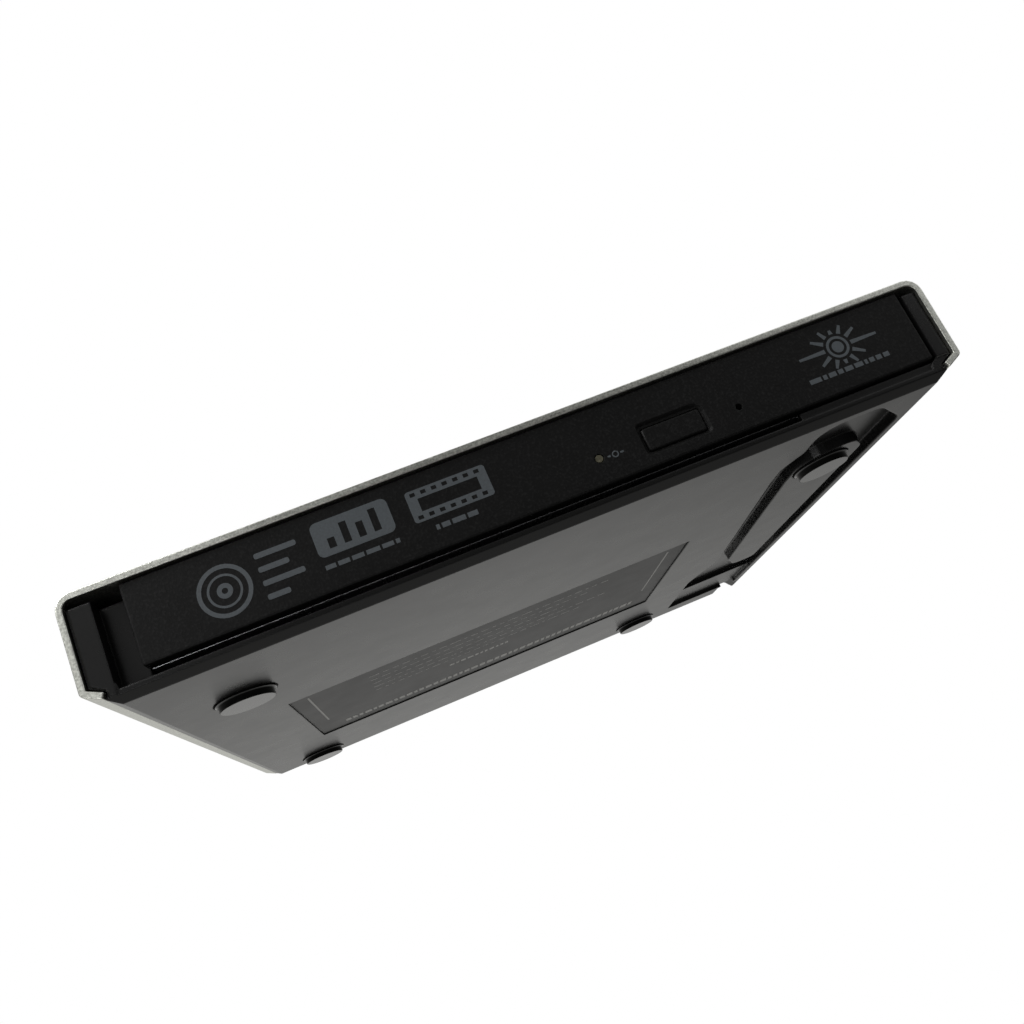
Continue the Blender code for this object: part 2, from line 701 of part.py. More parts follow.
def make_rails(mats):
    for side, word in ((-1, "left"), (1, "right")):
        guide = channel_section(side, 0.1, 2.3, RAIL_Z - 2.4, RAIL_Z + 2.4, 0.8, 0.7)
        prism(f"rail_guide_{word}", guide, RAIL_FRONT, RAIL_REAR + 5.0, "Y", mats["white_plastic"])
        rail = channel_section(side, 1.1, 2.7, RAIL_Z - 1.5, RAIL_Z + 1.5, 0.6, 0.8)
        prism(f"rail_{word}", rail, RAIL_FRONT, RAIL_REAR, "Y", mats["steel"])


def make_rear_board(mats):
    block("rear_board", (-20.0, 36.0), (51.0, 57.6), (5.9, 6.7), mats["green_board"])
    socket = block("drive_connector", (4.6, 27.4), (52.4, 58.4), (7.0, 11.9), mats["chip"])
    cut(socket, block("connector_slot", (5.7, 26.3), (54.8, DRIVE_REAR + REACH), (8.8, 10.4)))

    lower, upper, thin = PAN_FLOOR + 0.12, PAN_FLOOR + 0.62, 0.12
    loop = [
        (50.7, lower), (50.7, lower + thin), (12.0 + thin, lower + thin),
        (12.0 + thin, upper - thin), (30.0, upper - thin), (30.0, upper), (12.0, upper), (12.0, lower),
    ]
    prism("flex_cable", loop, -16.0, 2.0, "X", mats["flex"])


# ---- Tray --------------------------------------------------------------------
def tray_window():
    """Opening in the tray's deck around the spindle and along the pickup's path."""
    outline = rounded(rectangle((-17.0, 64.0), (-15.0, 15.0)), [10.0, 3.0, 3.0, 10.0], 5)
    return prism("tray_window", outline, TRAY_DECK - REACH, TRAY_TOP + REACH)


def make_tray(mats):
    left, right = DRIVE_X - TRAY_HALF, DRIVE_X + TRAY_HALF
    y = (TRAY_FRONT, TRAY_REAR)
    tray = block("tray", (left, right), y, (TRAY_LOW, TRAY_TOP), mats["grey_tray"])
    flange = block("flange", (DRIVE_X - FLANGE_HALF, DRIVE_X + FLANGE_HALF), y, (FLANGE_LOW, TRAY_TOP))
    fuse(tray, flange)
    for side in (-1, 1):
        rib_x = sorted((DRIVE_X + side * (TRAY_HALF - 0.5), DRIVE_X + side * (TRAY_HALF + 1.15)))
        rib_z = (RAIL_Z - 0.45, RAIL_Z + 0.45)
        fuse(tray, block(f"rib_{side}", rib_x, (RAIL_FRONT + 1.0, TRAY_REAR), rib_z))
    inside_x = (left + TRAY_WALL, right - TRAY_WALL)
    inside_y = (TRAY_FRONT + TRAY_WALL, TRAY_REAR + REACH)
    cut(tray, block("tray_inside", inside_x, inside_y, (TRAY_LOW - REACH, TRAY_DECK)))

    deep = (DISC_FLOOR, TRAY_TOP + REACH)
    recess = bar("disc_recess", DRIVE_X, DISC_Y, deep, DISC_RADIUS + 0.25, sides=96)
    deeper = (DISC_FLOOR - 0.15, TRAY_TOP)
    small = bar("small_disc_recess", DRIVE_X, DISC_Y, deeper, SMALL_DISC_RADIUS + 0.5, sides=64)
    cut(tray, recess, small)
    window = tray_window()
    swing_to_sled(window)
    cut(tray, window)

    fuse(tray, *tray_bosses())
    front_wall = (TRAY_FRONT - REACH, TRAY_FRONT + TRAY_WALL + 0.2)
    opening_x = (BUTTON_X - 4.0, BUTTON_X + 4.0)
    cut(tray, block("button_opening", opening_x, front_wall, (BUTTON_Z - 1.6, BUTTON_Z + 1.6)))
    cut(tray, bar("lamp_opening", LAMP_X, front_wall, LAMP_Z, 0.9, "Y", 16))
    cut(tray, bar("pinhole_path", PINHOLE_X, front_wall, PINHOLE_Z, 0.8, "Y", 16))


def tray_bosses():
    """Posts for the tray board and the two bearings of the eject pusher."""
    top = TRAY_DECK + 0.4
    bosses = []
    for index, (x, y) in enumerate([(-53.0, -30.0), (-53.0, 42.0), (-31.0, 10.0), (35.0, 42.0)]):
        bosses.append(bar(f"board_post_{index}", x, y, (9.4, top), 1.6, sides=16))
    bore = PUSHER_RADIUS + 0.25
    for index, y in enumerate(PUSHER_BEARINGS):
        bearing = block(f"pusher_bearing_{index}", (PUSHER_X - 2.6, PUSHER_X + 2.6), y, (6.9, top))
        deep = (y[0] - REACH, y[1] + REACH)
        cut(bearing, bar(f"bearing_bore_{index}", PUSHER_X, deep, PUSHER_Z, bore, "Y", 20))
        bosses.append(bearing)
    return bosses


def make_bezel(mats):
    half = BEZEL_WIDTH / 2
    x = (DRIVE_X - half, DRIVE_X + half)
    y = (BEZEL_FRONT, DRIVE_FRONT - GAP)
    z = (DRIVE_LOW, DRIVE_HIGH)
    bezel = bevel(block("bezel", x, y, z, mats["black_bezel"]), 0.35, 2)
    rim = 1.4
    hollow_x = (x[0] + rim, x[1] - rim)
    hollow_z = (z[0] + 1.2, z[1] - 1.2)
    cut(bezel, block("bezel_inside", hollow_x, (BEZEL_FRONT + 1.7, DRIVE_FRONT + REACH), hollow_z))
    frame_x = (BUTTON_X - 6.6, BUTTON_X + 6.6)
    frame_z = (BUTTON_Z - 3.4, BUTTON_Z + 3.4)
    fuse(bezel, block("button_frame", frame_x, (BEZEL_FRONT + 1.2, DRIVE_FRONT - 0.5), frame_z))

    side = BUTTON_WIDTH / 2
    rise = BUTTON_HEIGHT / 2
    mouth_x = (BUTTON_X - side - 0.45, BUTTON_X + side + 0.45)
    mouth_z = (BUTTON_Z - rise - 0.45, BUTTON_Z + rise + 0.75)
    mouth = offset(rounded(rectangle(mouth_x, mouth_z), [0.6, 0.6, 1.4, 0.6], 3), 0.35)
    cut(bezel, prism("button_mouth", mouth, BEZEL_FRONT - 0.1, BEZEL_FRONT + 0.5, "Y", spread=-0.5))
    through = (BEZEL_FRONT - REACH, DRIVE_FRONT + REACH)
    hole_x = (BUTTON_X - side - 0.15, BUTTON_X + side + 0.15)
    hole_z = (BUTTON_Z - rise - 0.15, BUTTON_Z + rise + 0.15)
    hole = rounded(rectangle(hole_x, hole_z), 0.4, 2)
    cut(bezel, prism("button_hole", hole, *through, "Y"))
    cut(bezel, bar("lamp_hole", LAMP_X, through, LAMP_Z, 0.75, "Y", 20))
    cut(bezel, bar("pinhole", PINHOLE_X, through, PINHOLE_Z, 0.55, "Y", 20))


def make_button(mats):
    side = BUTTON_WIDTH / 2
    rise = BUTTON_HEIGHT / 2
    face = BEZEL_FRONT + 0.15
    z = (BUTTON_Z - rise, BUTTON_Z + rise)
    outline = rounded(rectangle((BUTTON_X - side, BUTTON_X + side), z), 0.35, 2)
    button = prism("eject_button", outline, face, DRIVE_FRONT - 1.6, "Y", mats["black_bezel"])
    bevel(button, 0.2)
    stem_x = (BUTTON_X - 1.2, BUTTON_X + 1.2)
    stem_y = (DRIVE_FRONT - 2.0, DRIVE_FRONT - 0.35)
    fuse(button, block("button_stem", stem_x, stem_y, (BUTTON_Z - 1.2, BUTTON_Z + 1.2)))
    pivot_at(button, (BUTTON_X, face, BUTTON_Z))


def make_lamp(mats):
    y = (BEZEL_FRONT + 0.05, DRIVE_FRONT + 0.8)
    bar("lamp_window", LAMP_X, y, LAMP_Z, 0.6, "Y", 20, mats["lamp"])
    lamp_y = (DRIVE_FRONT + 1.9, DRIVE_FRONT + 2.7)
    lamp_z = (LAMP_Z - 0.5, LAMP_Z + 0.5)
    block("busy_lamp", (LAMP_X - 0.8, LAMP_X + 0.8), lamp_y, lamp_z, mats["white_plastic"])


def make_switch(mats):
    x = (BUTTON_X - 3.4, BUTTON_X + 2.0)
    y = (DRIVE_FRONT + 1.3, DRIVE_FRONT + 3.3)
    z = (BUTTON_Z - 1.4, BUTTON_Z + 1.4)
    switch = block("eject_switch", x, y, z, mats["white_plastic"])
    plunger_y = (DRIVE_FRONT + 0.3, y[1] - 0.5)
    fuse(switch, bar("switch_plunger", BUTTON_X, plunger_y, BUTTON_Z, 0.7, "Y", 16))


def make_tray_board(mats):
    outline = [
        (-55.0, -36.0),
        (-29.0, -36.0),
        (-29.0, 20.0),
        (-18.0, 30.0),
        (44.0, 30.0),
        (44.0, 46.0),
        (-55.0, 46.0),
    ]
    prism("tray_board", rounded(outline, 1.0, 2), 8.4, 9.2, mat=mats["green_board"])
    block("main_chip", (-46.0, -33.0), (-2.0, 11.0), (7.3, 8.3), mats["chip"])


# ---- Disc mechanism, drawn along +X from the spindle and swung to its direction ----
def make_traverse(mats):
    outline = [
        (-20.0, -15.0), (-14.0, -19.4), (61.5, -19.4), (65.5, -15.5), (65.5, 15.5), (61.5, 19.6),
        (44.0, 19.6), (42.5, 24.4), (37.5, 24.4), (36.0, 19.6), (-14.0, 19.6), (-20.0, 15.0),
    ]
    plate = prism("traverse_plate", rounded(outline, 1.0, 2), PLATE_LOW, PLATE_HIGH, mat=mats["steel"])
    cut(plate, bar("rotor_hole", 0.0, 0.0, (PLATE_LOW - REACH, PLATE_HIGH + REACH), 12.8, sides=40))
    window = rounded(rectangle((17.5, 63.6), (-12.0, 12.0)), 2.0, 3)
    cut(plate, prism("pickup_window", window, PLATE_LOW - REACH, PLATE_HIGH + REACH))
    top = PLATE_LOW + 0.4
    for side in (-1, 1):
        span = sorted((side * (ROD_OFFSET - 1.9), side * (ROD_OFFSET + 1.4)))
        fuse(plate, block(f"rod_block_in_{side}", (8.0, 11.5), span, (7.2, top)))
        fuse(plate, block(f"rod_block_out_{side}", (59.2, 61.6), span, (7.2, top)))
    arm_x = (57.6, 59.0)
    arm = block("screw_arm", arm_x, (SCREW_OFFSET - 1.9, -18.0), (PLATE_LOW, PLATE_HIGH))
    bearing_y = (SCREW_OFFSET - 1.9, SCREW_OFFSET + 1.9)
    fuse(plate, arm, block("screw_bearing", arm_x, bearing_y, (7.4, top)))
    bore = ROD_RADIUS + 0.15
    for side in (-1, 1):
        cut(plate, bar(f"rod_bore_{side}", (8.6, 61.2), side * ROD_OFFSET, ROD_Z, bore, "X", 20))
    cut(plate, bar("screw_bore", (50.0, 58.6), SCREW_OFFSET, SCREW_Z, 0.9, "X", 16))
    for name, (x, y) in TRAVERSE_SCREWS.items():
        cut(plate, bar(name + "_hole", x, y, (PLATE_LOW - 0.5, PLATE_HIGH + 0.5), 1.0, sides=16))
    swing_to_sled(plate)


def make_traverse_screws(mats):
    """Three screws, heads down, that hold the traverse plate under the tray's deck."""
    profile = [
        (0.0, 1.7),
        (0.75, 1.7),
        (0.75, 0.0),
        (1.7, 0.0),
        (1.7, -0.6),
        (1.4, -0.9),
        (0.0, -0.9),
    ]
    for name, (x, y) in TRAVERSE_SCREWS.items():
        screw = lathe(name, profile, (x, y, PLATE_LOW - 0.1), mats["dark_steel"], steps=20)
        swing_to_sled(screw)


def cut_screw_pilots(mats):
    """Holes in the tray for the traverse plate's screws."""
    tray = parts.objects["tray"]
    for name, (x, y) in TRAVERSE_SCREWS.items():
        pilot = bar(name + "_pilot", x, y, (TRAY_DECK - REACH, TRAY_DECK + 0.4), 0.95, sides=16)
        swing_to_sled(pilot)
        cut(tray, pilot)


def make_spindle(mats):
    base = bar("spindle_base", 0.0, 0.0, (7.6, 8.3), 14.4, sides=40, mat=mats["steel"])
    for turn in (90, 180, 270):
        angle = math.radians(turn)
        spot = (13.3 * math.cos(angle), 13.3 * math.sin(angle))
        fuse(base, bar(f"motor_post_{turn}", *spot, (8.0, PLATE_LOW - 0.1), 1.0, sides=12))
    fuse(base, bar("stator", 0.0, 0.0, (8.0, 10.6), 8.0, sides=32))
    cut(base, bar("bearing", 0.0, 0.0, (8.0, 12.0), 1.6, sides=20))
    swing_to_sled(base)

    can = [
        (0.0, 12.4),
        (11.0, 12.4),
        (11.4, 12.0),
        (11.4, 8.9),
        (10.6, 8.9),
        (10.6, 11.5),
        (1.2, 11.5),
        (1.2, 8.3),
        (0.0, 8.3),
    ]
    rotor = lathe("rotor", can, (0, 0, 0), mats["steel"], steps=36)
    hub = [
        (0.0, 16.2),
        (5.6, 16.2),
        (6.9, 15.7),
        (7.35, 15.0),
        (7.35, 13.75),
        (13.0, 13.75),
        (13.0, 12.9),
        (12.2, 12.6),
        (0.0, 12.6),
    ]
    turntable = lathe("turntable", hub, (0, 0, 0), mats["grey_tray"], steps=36)
    for claw in range(3):
        slot = block(f"claw_slot_{claw}", (4.0, 9.0), (-1.3, 1.3), (14.7, 15.9))
        slot.matrix_world = Matrix.Rotation(claw * math.tau / 3, 4, "Z")
        cut(turntable, slot)
    pad = [(12.7, DISC_BED), (12.7, 13.8), (10.3, 13.8), (10.3, DISC_BED)]
    ring = lathe("disc_pad", pad, (0, 0, 0), mats["rubber"], steps=36)
    swing_to_sled(rotor, turntable, ring)
    for obj in (rotor, turntable):
        pivot_at(obj, SPINDLE)
    for claw in range(3):
        name = f"hub_claw_{claw + 1}"
        body = block(name, (5.0, 7.8), (-1.0, 1.0), (14.9, 15.7), mats["white_plastic"])
        bevel(body, 0.25)
        body.matrix_world = Matrix.Rotation(claw * math.tau / 3, 4, "Z")
        swing_to_sled(body)


def make_sled_drive(mats):
    for name, side in (("guide_rod_main", -1), ("guide_rod_side", 1)):
        rail = bar(name, (8.8, 61.0), side * ROD_OFFSET, ROD_Z, ROD_RADIUS, "X", 20, mats["steel"])
        swing_to_sled(rail)
    motor = bar("sled_motor", (-3.0, 11.8), SCREW_OFFSET, SCREW_Z, 2.85, "X", 32, mats["dark_steel"])
    swing_to_sled(motor)
    screw = bar("lead_screw", (12.1, 57.3), SCREW_OFFSET, SCREW_Z, SCREW_RADIUS, "X", 16, mats["steel"])
    fuse(screw, bar("screw_end", (57.0, 58.3), SCREW_OFFSET, SCREW_Z, 0.7, "X", 16))
    swing_to_sled(screw)
    centre = parts.objects["sled_motor"].matrix_world @ (Vector((30.0, SCREW_OFFSET, SCREW_Z)) * MM)
    pivot_at(screw, centre / MM)


def make_sled(mats):
    lens = LENS_START
    low, high = 7.0, 10.6
    outline = rounded(rectangle((lens - 9.0, lens + 7.0), (-15.2, 15.2)), 1.5, 3)
    sled = prism("sled", outline, low, high, mat=mats["dark_steel"])
    bevel(sled, 0.3)
    for side in (-1, 1):
        span = sorted((side * 14.8, side * (ROD_OFFSET + 1.9)))
        fuse(sled, block(f"sled_ear_{side}", (lens - 7.6, lens + 0.6), span, (low + 0.2, high)))
    arm_y = (SCREW_OFFSET + SCREW_RADIUS + GAP, -19.0)
    fuse(sled, block("nut_arm", (lens - 5.0, lens - 1.0), arm_y, (8.4, 10.0)))
    through = (lens - 12.0, lens + 10.0)
    bore = ROD_RADIUS + 0.2
    for side in (-1, 1):
        cut(sled, bar(f"sled_bore_{side}", through, side * ROD_OFFSET, ROD_Z, bore, "X", 20))
    cut(sled, block("lens_well", (lens - 4.8, lens + 4.8), (-5.6, 5.6), (8.2, high + REACH)))

    holder = block("lens_holder", (lens - 4.2, lens + 4.2), (-5.0, 5.0), (9.0, 12.7), mats["chip"])
    bevel(holder, 0.4)
    glass = [(0.0, 13.5), (1.3, 13.35), (2.3, 12.95), (2.3, 12.75), (0.0, 12.75)]
    eye = lathe("lens", glass, (lens, 0, 0), mats["glass"], steps=28)
    swing_to_sled(sled, holder, eye)


# ---- Latch and ejector -------------------------------------------------------
def make_latch(mats):
    """The latch lever, drawn hooked and then swung clear of the striker, and its solenoid."""
    x, y = LATCH_PIVOT
    corners = [
        (-3.6, -10.4),
        (0.8, -10.4),
        (1.2, -2.0),
        (3.5, -0.5),
        (3.5, 1.2),
        (-1.0, 1.6),
        (-1.0, -2.0),
        (-1.0, -8.6),
        (-3.6, -8.6),
    ]
    radii = [0.3, 0.6, 0.6, 0.4, 0.4, 0.9, 0, 0.3, 0.3]
    outline = rounded([(x + across, y + along) for across, along in corners], radii, 3)
    lever = prism("latch_lever", outline, TRAY_LOW + 0.4, TRAY_LOW + 1.2, mat=mats["white_plastic"])
    cut(lever, bar("latch_bore", x, y, (TRAY_LOW - REACH, TRAY_LOW + REACH), 0.75, sides=20))
    pivot_at(lever, (x, y, 0.0))
    lever.matrix_world = lever.matrix_world @ Matrix.Rotation(LATCH_SWING, 4, "Z")
    profile = [
        (0.0, TRAY_DECK - 0.1),
        (1.3, TRAY_DECK - 0.1),
        (1.3, TRAY_LOW + 1.5),
        (0.55, TRAY_LOW + 1.4),
        (0.55, TRAY_LOW + 0.1),
        (0.0, TRAY_LOW + 0.1),
    ]
    lathe("latch_pivot", profile, (x, y, 0.0), mats["steel"], steps=20)

    coil_x = (x + 5.0, x + 13.0)
    coil = block("solenoid", coil_x, (y - 6.0, y - 1.2), (6.9, 11.6), mats["dark_steel"])
    fuse(coil, bar("plunger", (x + 4.2, x + 6.0), y - 3.6, 9.2, 0.8, "X", 16))


def make_pusher(mats):
    """The sprung rod that pushes off the pan's rear wall; its front end never leaves its bearing."""
    front_bearing = PUSHER_BEARINGS[0]
    rod_y = (front_bearing[0] - PUSHER_TRAVEL - 1.0, DRIVE_REAR - PAN - GAP)
    white = mats["white_plastic"]
    pusher = bar("eject_pusher", PUSHER_X, rod_y, PUSHER_Z, PUSHER_RADIUS, "Y", 20, white)
    collar = (37.0, 38.5)
    fuse(pusher, bar("pusher_collar", PUSHER_X, collar, PUSHER_Z, SPRING_RADIUS, "Y", 24))
    spring_y = (front_bearing[1] + GAP, collar[0] - GAP)
    spring = bar("eject_spring", PUSHER_X, spring_y, PUSHER_Z, SPRING_RADIUS, "Y", 20, mats["steel"])
    bore_y = (spring_y[0] - REACH, spring_y[1] + REACH)
    cut(spring, bar("spring_bore", PUSHER_X, bore_y, PUSHER_Z, PUSHER_RADIUS + 0.35, "Y", 20))


def main():
    clear_scene()
    mats = make_finishes()
    for make in (
        make_cover, make_shell, make_feet, make_label, make_rear_panel, make_bridge, make_case_screws,
        make_bracket, make_chassis, make_rails, make_rear_board, make_tray, make_bezel, make_button,
        make_lamp, make_switch, make_tray_board, make_traverse, make_traverse_screws, cut_screw_pilots,
        make_spindle, make_sled_drive, make_sled, make_latch, make_pusher,
    ):
        make(mats)


main()
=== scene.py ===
"""The looks of a slim external optical drive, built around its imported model.

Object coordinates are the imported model's frame in metres: X right seen from the front,
the front faces -Y, +Z up, and the feet stand on z = 0. Sizes below are in millimetres
times MM. Most nodes keep their own mesh and get a material here. Round ones, the screws
and a few others are shown as copies, and springs, threads, ribbons, prints and the small
parts on the boards are modelled here.
"""

import json
import math
import random

import bmesh
import bpy
from mathutils import Matrix, Vector


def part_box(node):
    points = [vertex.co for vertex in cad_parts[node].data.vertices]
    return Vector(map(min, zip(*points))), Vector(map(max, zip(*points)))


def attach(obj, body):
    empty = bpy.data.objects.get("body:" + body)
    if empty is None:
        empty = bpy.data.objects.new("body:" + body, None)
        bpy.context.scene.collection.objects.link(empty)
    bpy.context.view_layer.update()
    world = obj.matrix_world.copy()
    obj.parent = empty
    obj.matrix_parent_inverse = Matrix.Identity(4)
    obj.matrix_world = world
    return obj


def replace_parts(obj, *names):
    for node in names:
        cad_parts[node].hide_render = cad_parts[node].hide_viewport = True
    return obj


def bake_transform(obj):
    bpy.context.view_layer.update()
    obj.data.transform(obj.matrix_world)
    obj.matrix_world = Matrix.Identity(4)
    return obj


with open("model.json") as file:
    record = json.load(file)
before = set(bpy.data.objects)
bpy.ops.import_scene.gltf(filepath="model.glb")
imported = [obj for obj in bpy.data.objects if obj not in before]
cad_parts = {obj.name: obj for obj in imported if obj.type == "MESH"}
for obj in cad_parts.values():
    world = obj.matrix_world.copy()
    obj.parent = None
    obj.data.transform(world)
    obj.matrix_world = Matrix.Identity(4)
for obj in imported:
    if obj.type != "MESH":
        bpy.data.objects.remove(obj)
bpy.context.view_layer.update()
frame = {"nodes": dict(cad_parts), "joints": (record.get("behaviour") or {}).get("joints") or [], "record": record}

MM = 0.001
FRONT_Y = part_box("bezel")[0].y
LABEL_LOW, LABEL_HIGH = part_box("rating_label")
INK = 0.012 * MM  # how far printing stands off its surface

# The camera stands low in front of the case's left half and looks up at its underside.
CAMERA_PLACE = (-30.49 * MM, -208.95 * MM, -35.13 * MM)
CAMERA_TURN = (107.54, 23.013, -2.86)
CAMERA_LENS = 35.5  # on a 36 mm wide sensor


# ---- Node helpers ------------------------------------------------------------
class Look:
    """A material under construction: its node tree and its Principled shader."""

    def __init__(self, name):
        self.material = bpy.data.materials.new(name)
        self.material.use_nodes = True
        self.tree = self.material.node_tree
        self.shader = self.tree.nodes["Principled BSDF"]
        self.place = self.node("ShaderNodeTexCoord").outputs["Object"]

    def node(self, kind, **values):
        """Add a node; a value is linked if it is a socket, set if it is an input or a property."""
        node = self.tree.nodes.new(kind)
        for key, value in values.items():
            name = key.replace("_", " ")
            if name in node.inputs:
                self.feed(node.inputs[name], value)
            else:
                setattr(node, key, value)
        return node

    def feed(self, socket, value):
        if isinstance(value, bpy.types.NodeSocket):
            self.tree.links.new(value, socket)
        else:
            socket.default_value = value

    def set(self, **values):
        for key, value in values.items():
            self.feed(self.shader.inputs[key.replace("_", " ")], value)
        return self

    def stretched(self, scale):
        """Object coordinates, in metres, times a scale for each axis."""
        return self.node("ShaderNodeMapping", Vector=self.place, Scale=scale).outputs["Vector"]

    def noise(self, size, detail=3.0, stretch=(1.0, 1.0, 1.0), roughness=0.55):
        """Noise from 0 to 1 whose features are about size metres across."""
        scale = tuple(factor / size for factor in stretch)
        field = self.node("ShaderNodeTexNoise", Vector=self.stretched(scale), Scale=1.0, Detail=detail,
                          Roughness=roughness)
        return field.outputs["Fac"]

    def span(self, value, low, high, start=0.3, end=0.7):
        """Turn a value between start and end into one between low and high."""
        node = self.node("ShaderNodeMapRange", Value=value)
        node.inputs["From Min"].default_value = start
        node.inputs["From Max"].default_value = end
        node.inputs["To Min"].default_value = low
        node.inputs["To Max"].default_value = high
        return node.outputs["Result"]

    def blend(self, amount, first, second):
        """Mix two colours, each a socket or an RGB triple."""
        mix = self.node("ShaderNodeMix", data_type="RGBA")
        self.feed(mix.inputs["Factor"], amount)
        for index, colour in ((6, first), (7, second)):
            if isinstance(colour, tuple):
                colour = (*colour, 1.0)
            self.feed(mix.inputs[index], colour)
        return mix.outputs[2]

    def math(self, operation, first, second=0.0):
        node = self.node("ShaderNodeMath", operation=operation)
        self.feed(node.inputs[0], first)
        self.feed(node.inputs[1], second)
        return node.outputs[0]

    def relief(self, height, depth, edge=0.0):
        """Bump the surface by a height field; edge rounds the sharp edges that light catches."""
        bump = self.node("ShaderNodeBump", Height=height, Distance=depth, Strength=1.0)
        if edge:
            rim = self.node("ShaderNodeBevel", samples=4)
            rim.inputs["Radius"].default_value = edge
            self.feed(bump.inputs["Normal"], rim.outputs["Normal"])
        self.set(Normal=bump.outputs["Normal"])
        return self


# ---- Materials ---------------------------------------------------------------
def moulded(name, colour, roughness, grain, depth, lift=1.25, edge=0.15 * MM, shine=0.5,
            speckle=0.0):
    """Moulded plastic: fine grain, uneven gloss and a slightly cloudy colour."""
    look = Look(name)
    cloud = look.noise(14 * MM, 2.0)
    pale = tuple(min(1.0, part * lift) for part in colour)
    tint = look.blend(look.span(cloud, 0.0, 1.0), colour, pale)
    texture = look.noise(grain, 2.0)
    if speckle:
        bright = tuple(part * speckle for part in pale)
        tint = look.blend(look.span(texture, 0.0, 1.0, 0.50, 0.72), tint, bright)
    worn = look.noise(6 * MM, 3.0)
    rough = look.span(worn, roughness * 0.96, roughness * 1.05)
    look.set(Base_Color=tint, Roughness=rough, Specular_IOR_Level=shine)
    return look.relief(texture, depth, edge)


def foot_rubber():
    """Black rubber: a glossy moulded face over a dull side."""
    look = Look("foot_rubber")
    normal = look.node("ShaderNodeNewGeometry").outputs["Normal"]
    level = look.math("ABSOLUTE", look.node("ShaderNodeSeparateXYZ", Vector=normal).outputs["Z"])
    texture = look.noise(0.6 * MM, 2.0)
    dark, pale = (0.0040, 0.0040, 0.0038), (0.006, 0.006, 0.0055)
    look.set(Base_Color=look.blend(look.span(texture, 0.0, 1.0), dark, pale))
    look.set(Specular_IOR_Level=look.span(level, 0.05, 0.75, 0.6, 0.9))
    look.set(Roughness=look.span(texture, 0.15, 0.19))
    return look.relief(texture, 0.004 * MM)


def metal(name, colour, roughness, brush, stretch, depth, edge=0.12 * MM, sparkle=0.10):
    """Metal with brush or rolling marks; stretch is short along the marks."""
    look = Look(name)
    marks = look.noise(brush, 4.0, stretch, 0.6)
    broad = look.noise(brush * 4, 2.0, stretch, 0.5)
    grain = look.noise(0.30 * MM, 2.0)
    lines = look.math("ADD", look.span(marks, 0.0, 0.6), look.span(broad, 0.0, 0.4))
    dark = tuple(part * 0.88 for part in colour)
    lined = look.blend(lines, dark, colour)
    glint = tuple(min(1.0, part * (1.0 + sparkle)) for part in colour)
    dull = tuple(part * (1.0 - 2.0 * sparkle) for part in colour)
    grainy = look.blend(look.span(grain, 0.0, 1.0, 0.35, 0.65), dull, glint)
    look.set(Base_Color=look.blend(0.5, lined, grainy), Metallic=1.0)
    worn = look.span(marks, roughness - 0.05, roughness + 0.06)
    rough = look.math("ADD", worn, look.span(grain, -0.03, 0.03))
    look.set(Roughness=rough)
    return look.relief(marks, depth, edge)


def circuit_board():
    """Green solder resist over fine copper tracks, with rows of bare pads."""
    look = Look("circuit_board")
    tracks = look.node("ShaderNodeTexVoronoi", Vector=look.stretched((700.0, 450.0, 0.0)), Scale=1.0,
                       feature="DISTANCE_TO_EDGE", distance="MANHATTAN")
    copper = look.span(tracks.outputs["Distance"], 1.0, 0.0, 0.03, 0.08)
    green = look.blend(copper, (0.008, 0.062, 0.022), (0.022, 0.120, 0.045))
    vias = look.node("ShaderNodeTexVoronoi", Vector=look.stretched((330.0, 330.0, 0.0)), Scale=1.0)
    tinned = look.span(vias.outputs["Distance"], 1.0, 0.0, 0.10, 0.14)
    look.set(Base_Color=look.blend(tinned, green, (0.55, 0.53, 0.46)))
    look.set(Metallic=tinned, Roughness=look.span(look.noise(3 * MM), 0.28, 0.40))
    return look.relief(copper, 0.03 * MM)


def polyimide():
    """Amber film with copper tracks along Y."""
    look = Look("polyimide_film")
    wave = look.node("ShaderNodeTexWave", Vector=look.place, Scale=170.0, Distortion=0.0)
    track = look.span(wave.outputs["Fac"], 0.0, 1.0, 0.35, 0.5)
    look.set(Base_Color=look.blend(track, (0.23, 0.075, 0.012), (0.42, 0.16, 0.03)))
    look.set(Roughness=look.span(look.noise(6 * MM), 0.22, 0.36), Coat_Weight=0.4)
    return look.relief(track, 0.02 * MM)


def lens_glass():
    """Dark coated glass with a violet to green sheen towards its rim."""
    look = Look("coated_lens")
    facing = look.node("ShaderNodeLayerWeight", Blend=0.35).outputs["Facing"]
    smear = look.math("ADD", facing, look.span(look.noise(1.2 * MM), -0.05, 0.05))
    look.set(Base_Color=look.blend(smear, (0.05, 0.02, 0.12), (0.02, 0.12, 0.10)))
    look.set(Roughness=look.span(look.noise(2 * MM), 0.03, 0.08), Coat_Weight=1.0)
    return look


def light_guide():
    look = Look("lamp_guide")
    haze = look.noise(0.5 * MM, 3.0)
    look.set(Base_Color=look.blend(look.span(haze, 0.0, 1.0), (0.070, 0.066, 0.045), (0.13, 0.12, 0.085)))
    look.set(Roughness=look.span(haze, 0.12, 0.3), Transmission_Weight=0.25)
    return look


def ink(name, colour):
    """Matt printing that lets a little of the grain below show."""
    look = Look(name)
    cover = look.noise(0.35 * MM, 4.0)
    thin = tuple(part * 0.72 for part in colour)
    look.set(Base_Color=look.blend(look.span(cover, 0.0, 1.0), thin, colour))
    look.set(Roughness=look.span(cover, 0.5, 0.62))
    return look.relief(look.noise(0.3 * MM, 2.0), 0.012 * MM)


